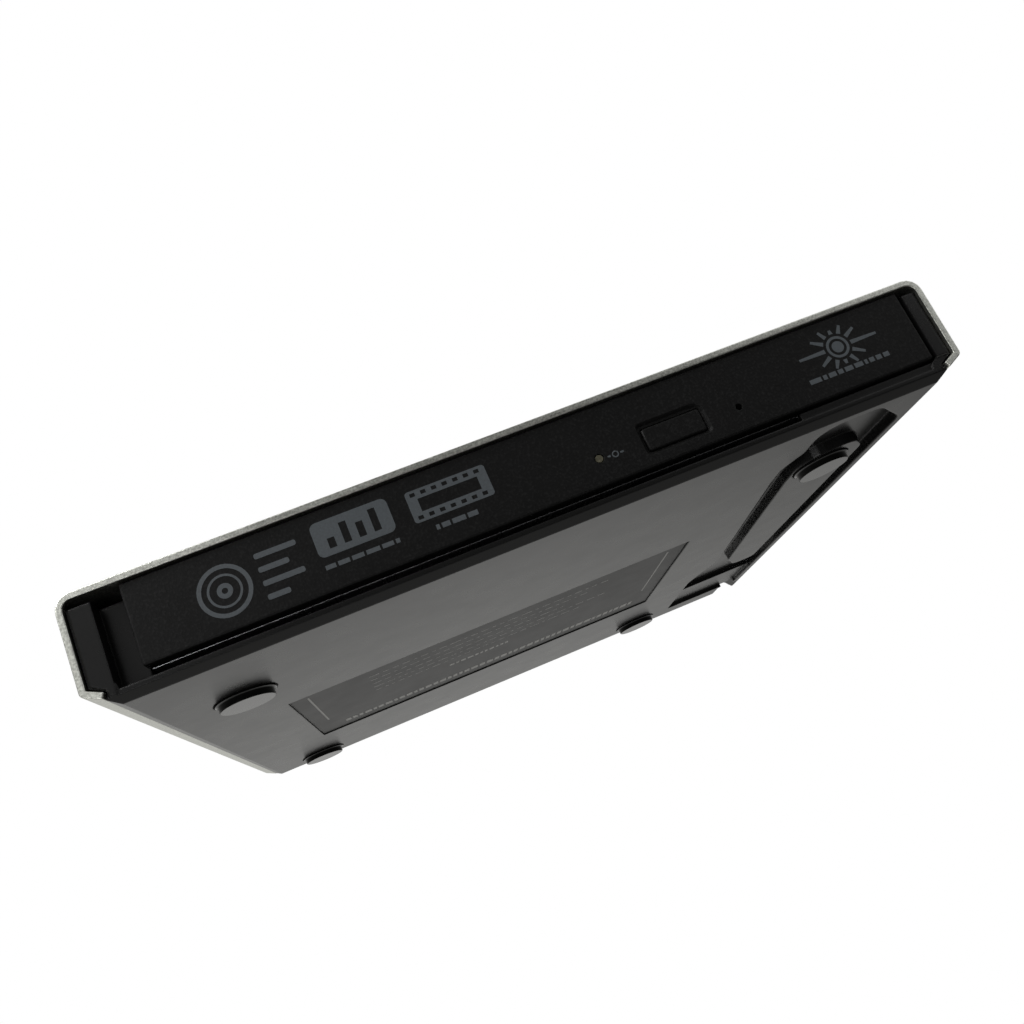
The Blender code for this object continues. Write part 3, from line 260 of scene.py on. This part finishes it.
def make_looks():
    along_x, along_y = (0.02, 1.0, 1.0), (1.0, 0.02, 1.0)
    looks = {
        "aluminium": metal("satin_aluminium", (0.74, 0.75, 0.69), 0.34, 0.22 * MM, along_x, 0.010 * MM,
                           0.18 * MM, 0.22),
        "black_shell": moulded("shell_plastic", (0.0045, 0.0045, 0.0045), 0.28, 0.30 * MM, 0.005 * MM,
                               edge=0.40 * MM, shine=0.30),
        "black_bezel": moulded("bezel_plastic", (0.0030, 0.0030, 0.0030), 0.50, 0.40 * MM, 0.040 * MM,
                               shine=0.15, speckle=2.6),
        "grey_tray": moulded("tray_plastic", (0.022, 0.022, 0.024), 0.42, 0.30 * MM, 0.012 * MM),
        "steel": metal("zinc_steel", (0.56, 0.57, 0.59), 0.30, 0.35 * MM, along_y, 0.006 * MM),
        "dark_steel": metal("dark_zinc_steel", (0.20, 0.20, 0.21), 0.36, 0.30 * MM, along_y, 0.008 * MM),
        "rubber": foot_rubber(),
        "label": moulded("label_film", (0.0075, 0.0075, 0.0070), 0.40, 0.8 * MM, 0.004 * MM, shine=0.14),
        "green_board": circuit_board(),
        "chip": moulded("chip_resin", (0.016, 0.016, 0.017), 0.55, 0.16 * MM, 0.012 * MM),
        "white_plastic": moulded("white_acetal", (0.70, 0.69, 0.64), 0.38, 0.5 * MM, 0.008 * MM, 1.08),
        "lamp": light_guide(),
        "flex": polyimide(),
        "glass": lens_glass(),
        "print": ink("grey_ink", (0.060, 0.070, 0.078)),
        "label_print": ink("pale_ink", (0.42, 0.42, 0.40)),
        "gold": metal("gold_plate", (0.72, 0.50, 0.20), 0.26, 0.3 * MM, along_y, 0.004 * MM, 0.05 * MM),
        "tin": metal("tinned_leads", (0.66, 0.66, 0.64), 0.34, 0.3 * MM, along_y, 0.006 * MM, 0.04 * MM),
        "ceramic": moulded("ceramic", (0.33, 0.22, 0.13), 0.42, 0.2 * MM, 0.006 * MM, 1.2, 0.04 * MM),
        "copper": metal("enamelled_wire", (0.52, 0.22, 0.09), 0.3, 0.2 * MM, along_y, 0.01 * MM, 0.04 * MM),
    }
    return {slot: look.material for slot, look in looks.items()}


LOOKS = make_looks()


# ---- Mesh helpers ------------------------------------------------------------
def new_piece(name, edit, body, slot, look=None, angle=35.0):
    """Turn an edited mesh, in metres in the object's frame, into a piece that rides on a body."""
    bmesh.ops.recalc_face_normals(edit, faces=edit.faces)
    mesh = bpy.data.meshes.new(name)
    edit.to_mesh(mesh)
    edit.free()
    mesh.shade_smooth()
    mesh.set_sharp_from_angle(angle=math.radians(angle))
    mesh.materials.append(LOOKS[look or slot])
    piece = bpy.data.objects.new(name, mesh)
    bpy.context.scene.collection.objects.link(piece)
    if body:
        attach(piece, body)
    return piece


def add_box(edit, low, high):
    """Add a closed box between two corners."""
    low, high = Vector(low), Vector(high)
    middle = (low + high) / 2
    size = Matrix.Diagonal((*(high - low), 1.0))
    return bmesh.ops.create_cube(edit, size=1.0, matrix=Matrix.Translation(middle) @ size)["verts"]


def slot_of(node):
    rows = frame["record"]["subparts"]
    return next(row["material_slot"] for row in rows if row["node"] == node)


def body_of(node):
    return next(body for body, nodes in frame["record"]["behaviour"]["bodies"].items() if node in nodes)


def copy_of(node, edge=0.0, segments=2, tools=()):
    """Show a node as a smooth-shaded copy, with rounded edges and cuts if asked for."""
    edit = bmesh.new()
    edit.from_mesh(frame["nodes"][node].data)
    bmesh.ops.remove_doubles(edit, verts=edit.verts, dist=0.001 * MM)
    flat = math.radians(0.4)
    bmesh.ops.dissolve_limit(edit, angle_limit=flat, verts=edit.verts, edges=edit.edges)
    for face in edit.faces:
        face.material_index = 0
    piece = new_piece(node + "_shape", edit, None, slot_of(node))
    for tool in tools:
        cut = piece.modifiers.new("cut", "BOOLEAN")
        cut.object = tool
        cut.operation = "DIFFERENCE"
    if edge:
        rim = piece.modifiers.new("rim", "BEVEL")
        rim.width = edge
        rim.segments = segments
        rim.limit_method = "ANGLE"
        rim.angle_limit = math.radians(40)
        rim.harden_normals = True
    if tools or edge:
        bpy.context.view_layer.update()
        shaped = piece.evaluated_get(bpy.context.evaluated_depsgraph_get())
        mesh = bpy.data.meshes.new_from_object(shaped)
        if not mesh.polygons:
            raise RuntimeError(node + " came out empty")
        piece.modifiers.clear()
        piece.data = mesh
    for tool in tools:
        bpy.data.objects.remove(tool)
    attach(piece, body_of(node))
    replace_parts(piece, node)
    return piece


# ---- CAD nodes ---------------------------------------------------------------
ROUND_NODES = (
    "foot_front_left", "foot_front_right", "foot_rear_left", "foot_rear_right", "rotor", "turntable",
    "disc_pad", "guide_rod_main", "guide_rod_side", "sled_motor", "latch_pivot", "striker_pin",
    "eject_pusher", "lamp_window", "lens", "power_jack", "spindle_base",
)


def dress_nodes():
    """Give every node its slot's material, and show round ones as smooth copies."""
    for node, obj in frame["nodes"].items():
        obj.data.materials.clear()
        obj.data.materials.append(LOOKS[slot_of(node)])
    for node in ROUND_NODES:
        copy_of(node)
    copy_of("top_cover", 0.14 * MM, 3)
    copy_of("eject_button", 0.10 * MM)
    copy_of("drive_lid", 0.06 * MM)
    copy_of("drive_chassis", 0.08 * MM)


# ---- Screws ------------------------------------------------------------------
CROSS_REACH = 0.62  # the cross's half length, as a share of the head's radius
CROSS_ARM = 0.22  # an arm's half width, as a share of the half length
CROSS_DEPTH = 0.45 * MM


def cross_tool(centre, axis, size, depth):
    """A cross-shaped cutter for a screw's head, as one closed prism."""
    arm = size * CROSS_ARM
    quarter = ((arm, size), (arm, arm), (size, arm))
    outline = []
    for corner in range(4):
        spin = Matrix.Rotation(-corner * math.pi / 2, 2)
        outline += [spin @ Vector(spot) for spot in quarter]
    edit = bmesh.new()
    lower = [edit.verts.new((x, y, -depth)) for x, y in outline]
    upper = [edit.verts.new((x, y, depth)) for x, y in outline]
    edit.faces.new(lower)
    edit.faces.new(upper)
    for index in range(len(outline)):
        after = (index + 1) % len(outline)
        edit.faces.new((lower[index], lower[after], upper[after], upper[index]))
    bmesh.ops.recalc_face_normals(edit, faces=edit.faces)
    mesh = bpy.data.meshes.new("cross_tool")
    edit.to_mesh(mesh)
    edit.free()
    tool = bpy.data.objects.new("cross_tool", mesh)
    bpy.context.scene.collection.objects.link(tool)
    turn = Vector(axis).to_track_quat("Z", "Y").to_matrix().to_4x4()
    tool.matrix_world = Matrix.Translation(centre) @ turn
    tool.hide_render = True
    return tool


def make_screws():
    """Cut a cross into the head of every screw."""
    heads = {
        "panel_screw_left": (0, 1, 0), "panel_screw_right": (0, 1, 0), "bracket_screw_upper": (0, 1, 0),
        "bracket_screw_lower": (0, 0, 1), "traverse_screw_1": (0, 0, -1), "traverse_screw_2": (0, 0, -1),
        "traverse_screw_3": (0, 0, -1),
    }
    for node, axis in heads.items():
        low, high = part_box(node)
        middle = (low + high) / 2
        axis = Vector(axis)
        reach = abs((high - low).dot(axis)) / 2
        radius = min((high - low).x, (high - low).y, (high - low).z) / 2
        if axis.z:
            radius = (high.x - low.x) / 2
        tool = cross_tool(middle + axis * reach, axis, radius * CROSS_REACH, CROSS_DEPTH)
        copy_of(node, tools=(tool,))


# ---- Springs, threads and ribbons --------------------------------------------
def make_coil():
    """The pusher's compression spring, with closed turns at each end."""
    low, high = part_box("eject_spring")
    wire, turns, steps = 0.22 * MM, 9, 16
    flat_end = 0.08  # the share of the wire that lies flat at each end
    radius = (high.x - low.x) / 2 - wire
    x, z = (low.x + high.x) / 2, (low.z + high.z) / 2
    start, end = low.y + wire, high.y - wire
    count = turns * steps
    curve = bpy.data.curves.new("spring_wire", "CURVE")
    curve.dimensions = "3D"
    curve.bevel_depth = wire
    curve.bevel_resolution = 2
    curve.use_fill_caps = True
    spline = curve.splines.new("POLY")
    spline.points.add(count)
    for index, point in enumerate(spline.points):
        share = index / count
        closed = min(max((share - flat_end) / (1.0 - 2.0 * flat_end), 0.0), 1.0)
        turn = math.tau * turns * share
        side, up = radius * math.cos(turn), radius * math.sin(turn)
        point.co = (x + side, start + (end - start) * closed, z + up, 1)
    wire_object = bpy.data.objects.new("spring_wire", curve)
    bpy.context.scene.collection.objects.link(wire_object)
    bpy.context.view_layer.update()
    mesh = bpy.data.meshes.new_from_object(wire_object.evaluated_get(bpy.context.evaluated_depsgraph_get()))
    bpy.data.objects.remove(wire_object)
    edit = bmesh.new()
    edit.from_mesh(mesh)
    bmesh.ops.remove_doubles(edit, verts=edit.verts, dist=0.001 * MM)
    coil = new_piece("eject_spring_coil", edit, None, "steel")
    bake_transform(coil)
    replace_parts(coil, "eject_spring")


def make_thread():
    """The sled's lead screw, with its thread, along the pickup's direction."""
    joint = next(j for j in frame["joints"] if j["name"] == "lead_screw_spin")
    axis = Vector(joint["axis"]).normalized()
    across = Vector((axis.y, -axis.x, 0.0))
    node = frame["nodes"]["lead_screw"].data
    pivot = Vector(joint["pos_m"])
    spots = [(v.co - pivot).dot(axis) for v in node.vertices]
    radius = max((v.co - pivot - axis * (v.co - pivot).dot(axis)).length for v in node.vertices)
    start, end = min(spots), max(spots)
    pitch, starts, sides = 3.0 * MM, 2, 20
    journal, journal_radius = 1.1 * MM, 0.68 * MM
    root, steepness = 0.80, 1.8
    rings = int((end - journal - start) / (0.25 * MM))
    edit = bmesh.new()

    def ring(place, sizes):
        centre = pivot + axis * place
        made = []
        for side, size in enumerate(sizes):
            turn = math.tau * side / sides
            spot = centre + across * (size * math.cos(turn)) + Vector((0, 0, size * math.sin(turn)))
            made.append(edit.verts.new(spot))
        return made

    loops = []
    for index in range(rings + 1):
        place = start + (end - journal - start) * index / rings
        sizes = []
        for side in range(sides):
            phase = (starts * place / pitch + side / sides * starts) % 1.0
            crest = min(max(2.0 * abs(phase - 0.5) * steepness - 0.5, 0.0), 1.0)
            sizes.append(radius * (root + (1.0 - root) * crest))
        loops.append(ring(place, sizes))
    for place in (end - journal, end):
        loops.append(ring(place, [journal_radius] * sides))
    for previous, following in zip(loops, loops[1:]):
        for side in range(sides):
            after = (side + 1) % sides
            edit.faces.new((previous[side], previous[after], following[after], following[side]))
    edit.faces.new(loops[0])
    edit.faces.new(loops[-1])
    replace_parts(new_piece("lead_screw_thread", edit, "screw", "steel"), "lead_screw")


def make_ribbon():
    """The flat cable as one piece: its lower run, a half turn and its upper run rising towards the tray's board.
    """
    low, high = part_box("flex_cable")
    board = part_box("tray_board")
    thin = 0.10 * MM
    bend = (high.z - low.z - thin) / 2
    middle = (high.z + low.z - thin) / 2
    rise_y = board[0].y + 5 * MM
    path = [(high.y, low.z), (low.y + bend, low.z)]
    for step in range(1, 9):
        turn = math.pi * step / 8
        path.append((low.y + bend - bend * math.sin(turn), middle - bend * math.cos(turn)))
    path.append((rise_y, high.z - thin))
    edit = bmesh.new()
    columns = 9
    sheets = []
    for lift in (0.0, thin):
        sheet = []
        for y, z in path:
            row = []
            for column in range(columns):
                x = low.x + (high.x - low.x) * column / (columns - 1)
                row.append(edit.verts.new((x, y, z + lift)))
            sheet.append(row)
        sheets.append(sheet)
    for row in range(len(path) - 1):
        for column in range(columns - 1):
            for sheet in sheets:
                edit.faces.new((sheet[row][column], sheet[row][column + 1],
                                sheet[row + 1][column + 1], sheet[row + 1][column]))
        for column in (0, columns - 1):
            edit.faces.new((sheets[0][row][column], sheets[0][row + 1][column],
                            sheets[1][row + 1][column], sheets[1][row][column]))
    for row in (0, len(path) - 1):
        for column in range(columns - 1):
            edit.faces.new((sheets[0][row][column], sheets[0][row][column + 1],
                            sheets[1][row][column + 1], sheets[1][row][column]))
    ribbon = new_piece("flex_ribbon", edit, None, "flex", angle=60)
    x, y = (low.x + high.x) / 2, low.y
    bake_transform(ribbon)
    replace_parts(ribbon, "flex_cable")


# ---- Printing ----------------------------------------------------------------
def circle(x, y, radius, steps=40):
    return [(x + radius * math.cos(math.tau * step / steps), y + radius * math.sin(math.tau * step / steps))
            for step in range(steps)]


def bar(left, low, right, high):
    return [(left, low), (right, low), (right, high), (left, high)]


def soft_bar(left, low, right, high, radius, steps=5):
    """A rectangle with round corners."""
    outline = []
    corners = ((right, high, 0), (left, high, 1), (left, low, 2), (right, low, 3))
    for x, y, quarter in corners:
        centre_x = x - math.copysign(radius, x - (left + right) / 2)
        centre_y = y - math.copysign(radius, y - (low + high) / 2)
        for step in range(steps + 1):
            turn = math.pi / 2 * (quarter + step / steps)
            outline.append((centre_x + radius * math.cos(turn), centre_y + radius * math.sin(turn)))
    return outline


def printed(name, loops, place, body, slot, look):
    """Flat printing from closed loops in millimetres; a loop inside another is a hole."""
    curve = bpy.data.curves.new(name, "CURVE")
    curve.dimensions = "2D"
    curve.fill_mode = "BOTH"
    curve.extrude = INK
    for loop in loops:
        spline = curve.splines.new("POLY")
        spline.points.add(len(loop) - 1)
        spline.use_cyclic_u = True
        for point, (x, y) in zip(spline.points, loop):
            point.co = (x * MM, y * MM, 0.0, 1.0)
    flat = bpy.data.objects.new(name + "_outline", curve)
    bpy.context.scene.collection.objects.link(flat)
    bpy.context.view_layer.update()
    mesh = bpy.data.meshes.new_from_object(flat.evaluated_get(bpy.context.evaluated_depsgraph_get()))
    bpy.data.objects.remove(flat)
    edit = bmesh.new()
    edit.from_mesh(mesh)
    bmesh.ops.remove_doubles(edit, verts=edit.verts, dist=0.0005 * MM)
    bmesh.ops.transform(edit, matrix=place, verts=edit.verts)
    return new_piece(name, edit, body, slot, look)


def dashes(left, right, low, height, rng, shortest=0.5, longest=2.2, space=0.35):
    """A row of short strokes that stands for a line of small print."""
    row = []
    x = left
    while x < right - shortest:
        end = min(x + rng.uniform(shortest, longest), right)
        row.append(bar(x, low, end, low + height))
        x = end + space
    return row


def disc_icon():
    """A plain disc beside four lines of a list."""
    x, z = -48.3, 10.85
    list_left, list_top, spacing, thick = -43.0, 13.6, 2.15, 0.85
    loops = [circle(x, z, radius) for radius in (4.0, 3.35, 2.55, 2.2, 1.15, 0.45)]
    for index, length in enumerate((6.3, 4.6, 6.3, 3.4)):
        low = list_top - spacing * index
        loops.append(soft_bar(list_left, low, list_left + length, low + thick, 0.3))
    return loops


def meter_icon(rng):
    """A filled plate with three level bars left open in it, over a line of small print."""
    low, wide, pitch = 11.1, 1.1, 2.3
    loops = [soft_bar(-34.3, 10.1, -22.4, 15.6, 1.0)]
    for index, height in enumerate((1.6, 3.3, 2.4, 3.6)):
        left = -32.4 + pitch * index
        loops.append(bar(left, low, left + wide, low + height))
    return loops + dashes(-34.0, -22.6, 8.2, 0.7, rng)


def film_icon(rng):
    """A strip with square holes along both edges, over a line of small print."""
    loops = [soft_bar(-19.6, 9.9, -6.9, 15.0, 0.5), bar(-18.0, 11.4, -8.5, 13.5)]
    hole_wide, hole_high, pitch = 0.8, 0.6, 1.7
    for index in range(7):
        left = -18.9 + pitch * index
        for low in (10.3, 14.0):
            loops.append(bar(left, low, left + hole_wide, low + hole_high))
    return loops + dashes(-17.0, -9.6, 7.9, 0.8, rng)


def burst_icon(rng):
    """A dot with short rays around it, over a line of small print."""
    x, z = 53.2, 12.3
    rays, half_wide, start = 12, 0.36, 2.35
    loops = [circle(x, z, radius) for radius in (1.9, 1.45, 1.0)]
    for index in range(rays):
        turn = math.tau * index / rays
        level = index % (rays // 2) == 0
        reach = 7.0 if level else 3.1 + 1.6 * abs(math.cos(turn))
        along = Vector((math.cos(turn), math.sin(turn)))
        across = Vector((-along.y, along.x)) * half_wide
        inner, outer = along * start, along * reach
        spots = (inner - across, outer - across * 0.6, outer + across * 0.6, inner + across)
        loops.append([(x + spot.x, z + spot.y) for spot in spots])
    return loops + dashes(46.0, 60.4, 7.9, 0.8, rng)


def make_bezel_print():
    """Generic symbols on the bezel in place of the real one's marks."""
    rng = random.Random(5)
    place = Matrix.Translation((0.0, FRONT_Y - INK * 0.5, 0.0)) @ Matrix.Rotation(math.radians(90), 4, "X")
    body = body_of("bezel")
    lamp_x, lamp_z = 12.4, 8.97
    symbols = {
        "disc_symbol": disc_icon(),
        "meter_symbol": meter_icon(rng),
        "film_symbol": film_icon(rng),
        "burst_symbol": burst_icon(rng),
        "lamp_symbol": [
            circle(lamp_x, lamp_z, 0.55, 20),
            circle(lamp_x, lamp_z, 0.36, 20),
            bar(lamp_x + 0.8, 8.8, lamp_x + 1.4, 9.1),
            bar(lamp_x - 1.3, 8.8, lamp_x - 0.8, 9.1),
        ],
    }
    for name, loops in symbols.items():
        printed(name, loops, place, body, "black_bezel", "print")


def make_label_print():
    """Rows of strokes on the underside's label in place of its text, and a light line at each end."""
    rng = random.Random(9)
    left, right = LABEL_LOW.x / MM + 3.0, LABEL_HIGH.x / MM - 3.6
    front, rear = LABEL_LOW.y / MM + 3.2, LABEL_HIGH.y / MM - 16.0
    line = 0.35
    loops = [bar(left, front, left + line, rear), bar(right - line, front, right, rear)]
    loops += dashes(left + 3.0, right, rear + 8.6, 2.6, rng, 0.7, 1.7, 0.5)
    loops += dashes(-18.6, -4.9, rear - 6.2, 1.5, rng, 0.6, 1.4, 0.45)
    for row in range(5):
        low = front + 3.4 + 4.0 * row
        loops += dashes(left + 12.0, right - 12.0 - 5.0 * (row % 3), low, 0.35, rng, space=0.8)
    mirrored = [[(x, -y) for x, y in loop] for loop in loops]
    place = Matrix.Translation((0.0, 0.0, LABEL_LOW.z)) @ Matrix.Rotation(math.pi, 4, "X")
    printed("label_print", mirrored, place, body_of("rating_label"), "label", "label_print")


# ---- Small parts on the boards -------------------------------------------------
def overlapping(box, other):
    """Whether two flat boxes, each low x, low y, high x, high y, overlap."""
    across = box[0] < other[2] and box[2] > other[0]
    return across and box[1] < other[3] and box[3] > other[1]


def scatter(name, board, face, sign, keep_out, count, seed, slot="chip", look="ceramic", tallest=0.7):
    """Small soldered blocks on one face of a board; sign is +1 for its top and -1 for its underside."""
    low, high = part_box(board)
    rng = random.Random(seed)
    placed = []
    body_edit, lead_edit = bmesh.new(), bmesh.new()
    tries = 0
    while len(placed) < count and tries < count * 30:
        tries += 1
        long, wide = rng.choice(((1.0, 0.5), (1.6, 0.8), (2.0, 1.2), (1.0, 0.5)))
        tall = min(wide * 0.7, tallest)
        if rng.random() < 0.5:
            long, wide = wide, long
        x = rng.uniform(low.x / MM + 1.5, high.x / MM - 1.5)
        y = rng.uniform(low.y / MM + 1.5, high.y / MM - 1.5)
        if not on_board(board, x, y):
            continue
        box = (x - long, y - wide, x + long, y + wide)
        if any(overlapping(box, other) for other in placed + keep_out):
            continue
        placed.append(box)
        near, far = sorted((face / MM, face / MM + sign * tall))
        half_x, half_y = long / 2, wide / 2
        add_box(body_edit, ((x - half_x) * MM, (y - half_y) * MM, near * MM),
                ((x + half_x) * MM, (y + half_y) * MM, far * MM))
        for end in (-1, 1):
            shift = Vector((half_x, 0)) if long >= wide else Vector((0, half_y))
            cap = Vector((0.15, half_y + 0.02)) if long >= wide else Vector((half_x + 0.02, 0.15))
            spot = Vector((x, y)) + shift * end
            near_cap, far_cap = sorted((face / MM, face / MM + sign * (tall + 0.02)))
            add_box(lead_edit, ((spot.x - cap.x) * MM, (spot.y - cap.y) * MM, near_cap * MM),
                    ((spot.x + cap.x) * MM, (spot.y + cap.y) * MM, far_cap * MM))
    body = body_of(board)
    new_piece(name, body_edit, body, slot, look)
    new_piece(name + "_ends", lead_edit, body, "steel", "tin")


def on_board(board, x, y):
    """Whether a point, in millimetres, with a margin around it, lies on a board."""
    mesh = frame["nodes"][board]
    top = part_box(board)[1].z
    for dx, dy in ((-1.6, -1.2), (1.6, -1.2), (1.6, 1.2), (-1.6, 1.2)):
        start = Vector(((x + dx) * MM, (y + dy) * MM, top + 1 * MM))
        if not mesh.ray_cast(start, Vector((0, 0, -1)), distance=3 * MM)[0]:
            return False
    return True


def chip_legs(name, chip, board, pitch=0.65):
    """Gull-wing leads along a chip's edges, down to its board."""
    low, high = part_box(chip)
    board_low, board_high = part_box(board)
    above = low.z > board_high.z - 0.1 * MM
    seat = board_high.z if above else board_low.z
    knee = (low.z + high.z) / 2
    thick, reach, wide = 0.12 * MM, 0.9 * MM, 0.28 * MM
    sign = 1 if above else -1
    edit = bmesh.new()
    for along, across in ((0, 1), (1, 0)):
        span = high[along] - low[along] - 1.4 * MM
        count = int(span / (pitch * MM)) + 1
        for index in range(count):
            middle = low[along] + 0.7 * MM + span * index / (count - 1)
            for side in (-1, 1):
                edge = high[across] if side > 0 else low[across]
                runs = (
                    (edge - side * 0.05 * MM, edge + side * reach * 0.45, knee - thick / 2, knee + thick / 2),
                    (edge + side * (reach * 0.45 - thick), edge + side * reach * 0.45, knee, seat),
                    (edge + side * (reach * 0.45 - thick), edge + side * reach, seat, seat + sign * thick),
                )
                for start, end, bottom, top in runs:
                    corner = [0.0, 0.0, min(bottom, top)]
                    other = [0.0, 0.0, max(bottom, top)]
                    corner[along], other[along] = middle - wide / 2, middle + wide / 2
                    corner[across], other[across] = min(start, end), max(start, end)
                    add_box(edit, corner, other)
    new_piece(name, edit, body_of(chip), "steel", "tin")


def keep_out_of(*nodes, margin=1.3):
    boxes = []
    for node in nodes:
        low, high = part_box(node)
        boxes.append((low.x / MM - margin, low.y / MM - margin, high.x / MM + margin, high.y / MM + margin))
    return boxes


def make_board_parts():
    tray_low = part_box("tray_board")[0].z
    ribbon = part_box("flex_cable")
    out = keep_out_of("main_chip")
    out.append((ribbon[0].x / MM - 1, ribbon[0].y / MM, ribbon[1].x / MM + 1, ribbon[1].y / MM))
    scatter("tray_board_parts", "tray_board", tray_low, -1, out, 90, 21)
    bridge_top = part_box("bridge_board")[1].z
    out = keep_out_of("bridge_chip", "usb_socket", "power_jack", "sata_plug", margin=0.8)
    scatter("bridge_board_parts", "bridge_board", bridge_top, 1, out, 22, 22)
    rear_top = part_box("rear_board")[1].z
    out = keep_out_of("drive_connector", margin=0.8)
    scatter("rear_board_parts", "rear_board", rear_top, 1, out, 16, 23)
    chip_legs("main_chip_legs", "main_chip", "tray_board")
    chip_legs("bridge_chip_legs", "bridge_chip", "bridge_board", pitch=0.5)


def make_contacts():
    """Gold strips on the plug's tongue and in the USB socket."""
    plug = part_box("sata_plug")
    edit = bmesh.new()
    for index in range(13):
        x = plug[0].x + (1.9 + 1.5 * index) * MM
        add_box(edit, (x - 0.3 * MM, plug[0].y + 0.2 * MM, plug[1].z - 1.52 * MM),
                (x + 0.3 * MM, plug[0].y + 3.2 * MM, plug[1].z - 1.47 * MM))
    new_piece("plug_contacts", edit, "case", "steel", "gold")
    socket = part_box("usb_socket")
    middle = (socket[0].x + socket[1].x) / 2
    edit = bmesh.new()
    for level, offsets in ((9.69, (-1.2, 1.2)), (9.06, (-1.2, 1.2))):
        for offset in offsets:
            add_box(edit, (middle + (offset - 0.45) * MM, socket[0].y + 2.4 * MM, level * MM),
                    (middle + (offset + 0.45) * MM, socket[1].y - 1.6 * MM, (level + 0.05) * MM))
    new_piece("usb_contacts", edit, "case", "steel", "gold")


# ---- Stage -------------------------------------------------------------------
def make_floor():
    """A pale floor that only a camera above it sees, and that fades into the white around it."""
    bpy.ops.mesh.primitive_plane_add(size=6.0, location=(0.0, 0.0, -0.02 * MM))
    floor = bpy.context.active_object
    floor.name = "floor"
    look = Look("pale_floor")
    tint = look.noise(60 * MM, 3.0)
    look.set(Base_Color=look.blend(look.span(tint, 0.0, 1.0), (0.78, 0.78, 0.775), (0.82, 0.82, 0.815)))
    look.set(Roughness=0.8, Specular_IOR_Level=0.0)
    distance = look.node("ShaderNodeVectorMath", operation="LENGTH")
    look.feed(distance.inputs[0], look.place)
    far = look.span(distance.outputs["Value"], 0.0, 1.0, 0.14, 0.34)
    white = look.node("ShaderNodeEmission", Color=(1.0, 1.0, 1.0, 1.0))
    faded = look.node("ShaderNodeMixShader")
    look.feed(faded.inputs[0], far)
    look.feed(faded.inputs[1], look.shader.outputs[0])
    look.feed(faded.inputs[2], white.outputs[0])
    clear = look.node("ShaderNodeBsdfTransparent")
    side = look.node("ShaderNodeNewGeometry").outputs["Backfacing"]
    seen = look.node("ShaderNodeLightPath").outputs["Is Camera Ray"]
    shown = look.math("MULTIPLY", seen, look.math("SUBTRACT", 1.0, side))
    mix = look.node("ShaderNodeMixShader")
    look.feed(mix.inputs[0], shown)
    look.feed(mix.inputs[1], clear.outputs[0])
    look.feed(mix.inputs[2], faded.outputs[0])
    look.feed(look.tree.nodes["Material Output"].inputs["Surface"], mix.outputs[0])
    floor.data.materials.append(look.material)


def make_surroundings():
    """White to the camera. What the object reflects is brightest behind and above, dim in front."""
    world = bpy.data.worlds.new("studio")
    bpy.context.scene.world = world
    world.use_nodes = True
    tree = world.node_tree
    tree.nodes.clear()
    link = tree.links.new
    direction = tree.nodes.new("ShaderNodeTexCoord").outputs["Generated"]
    split = tree.nodes.new("ShaderNodeSeparateXYZ")
    link(direction, split.inputs[0])

    def ramp(value, stops):
        node = tree.nodes.new("ShaderNodeMapRange")
        node.interpolation_type = "SMOOTHSTEP"
        link(value, node.inputs["Value"])
        for name, number in zip(("From Min", "From Max", "To Min", "To Max"), stops):
            node.inputs[name].default_value = number
        return node.outputs["Result"]

    def multiply(first, second):
        node = tree.nodes.new("ShaderNodeMath")
        node.operation = "MULTIPLY"
        link(first, node.inputs[0])
        link(second, node.inputs[1])
        return node.outputs[0]

    depth = ramp(split.outputs["Y"], (-0.9, 0.9, 0.10, 0.62))
    side = ramp(split.outputs["X"], (0.05, 0.75, 1.0, 0.42))
    amount = multiply(depth, side)
    lit = tree.nodes.new("ShaderNodeBackground")
    lit.inputs["Color"].default_value = (1.0, 0.995, 0.97, 1.0)
    link(amount, lit.inputs["Strength"])
    white = tree.nodes.new("ShaderNodeBackground")
    white.inputs["Color"].default_value = (1.0, 1.0, 1.0, 1.0)
    mix = tree.nodes.new("ShaderNodeMixShader")
    link(tree.nodes.new("ShaderNodeLightPath").outputs["Is Camera Ray"], mix.inputs[0])
    link(lit.outputs[0], mix.inputs[1])
    link(white.outputs[0], mix.inputs[2])
    output = tree.nodes.new("ShaderNodeOutputWorld")
    link(mix.outputs[0], output.inputs["Surface"])


def soft_light(name, place, target, size, power):
    data = bpy.data.lights.new(name, "AREA")
    data.shape = "DISK"
    data.size = size
    data.energy = power
    lamp = bpy.data.objects.new(name, data)
    bpy.context.scene.collection.objects.link(lamp)
    lamp.location = place
    lamp.rotation_euler = (Vector(target) - Vector(place)).to_track_quat("-Z", "Y").to_euler()
    lamp.visible_camera = False
    return lamp


def make_lights():
    centre = (0.0, 0.0, 0.01)
    soft_light("key", (-0.55, -0.45, 0.75), centre, 0.55, 9.0)
    soft_light("fill", (0.75, -0.35, 0.55), centre, 1.20, 3.0)
    soft_light("rim", (0.25, 0.80, 0.55), centre, 0.90, 1.5)
    soft_light("under_front", (-0.35, -0.75, -0.25), centre, 0.35, 1.2)
    soft_light("left_front", (-0.20, -0.38, 0.13), (-0.07, -0.07, 0.01), 0.22, 0.06)


def make_camera():
    data = bpy.data.cameras.new("camera")
    data.lens = CAMERA_LENS
    data.clip_start = 0.005
    camera = bpy.data.objects.new("camera", data)
    bpy.context.scene.collection.objects.link(camera)
    camera.location = CAMERA_PLACE
    camera.rotation_euler = [math.radians(turn) for turn in CAMERA_TURN]
    bpy.context.scene.camera = camera


def make_view():
    bpy.context.scene.view_settings.view_transform = "Standard"
    bpy.context.scene.view_settings.look = "None"


dress_nodes()
make_screws()
make_coil()
make_thread()
make_ribbon()
make_bezel_print()
make_label_print()
make_board_parts()
make_contacts()
make_floor()
make_surroundings()
make_lights()
make_camera()
make_view()
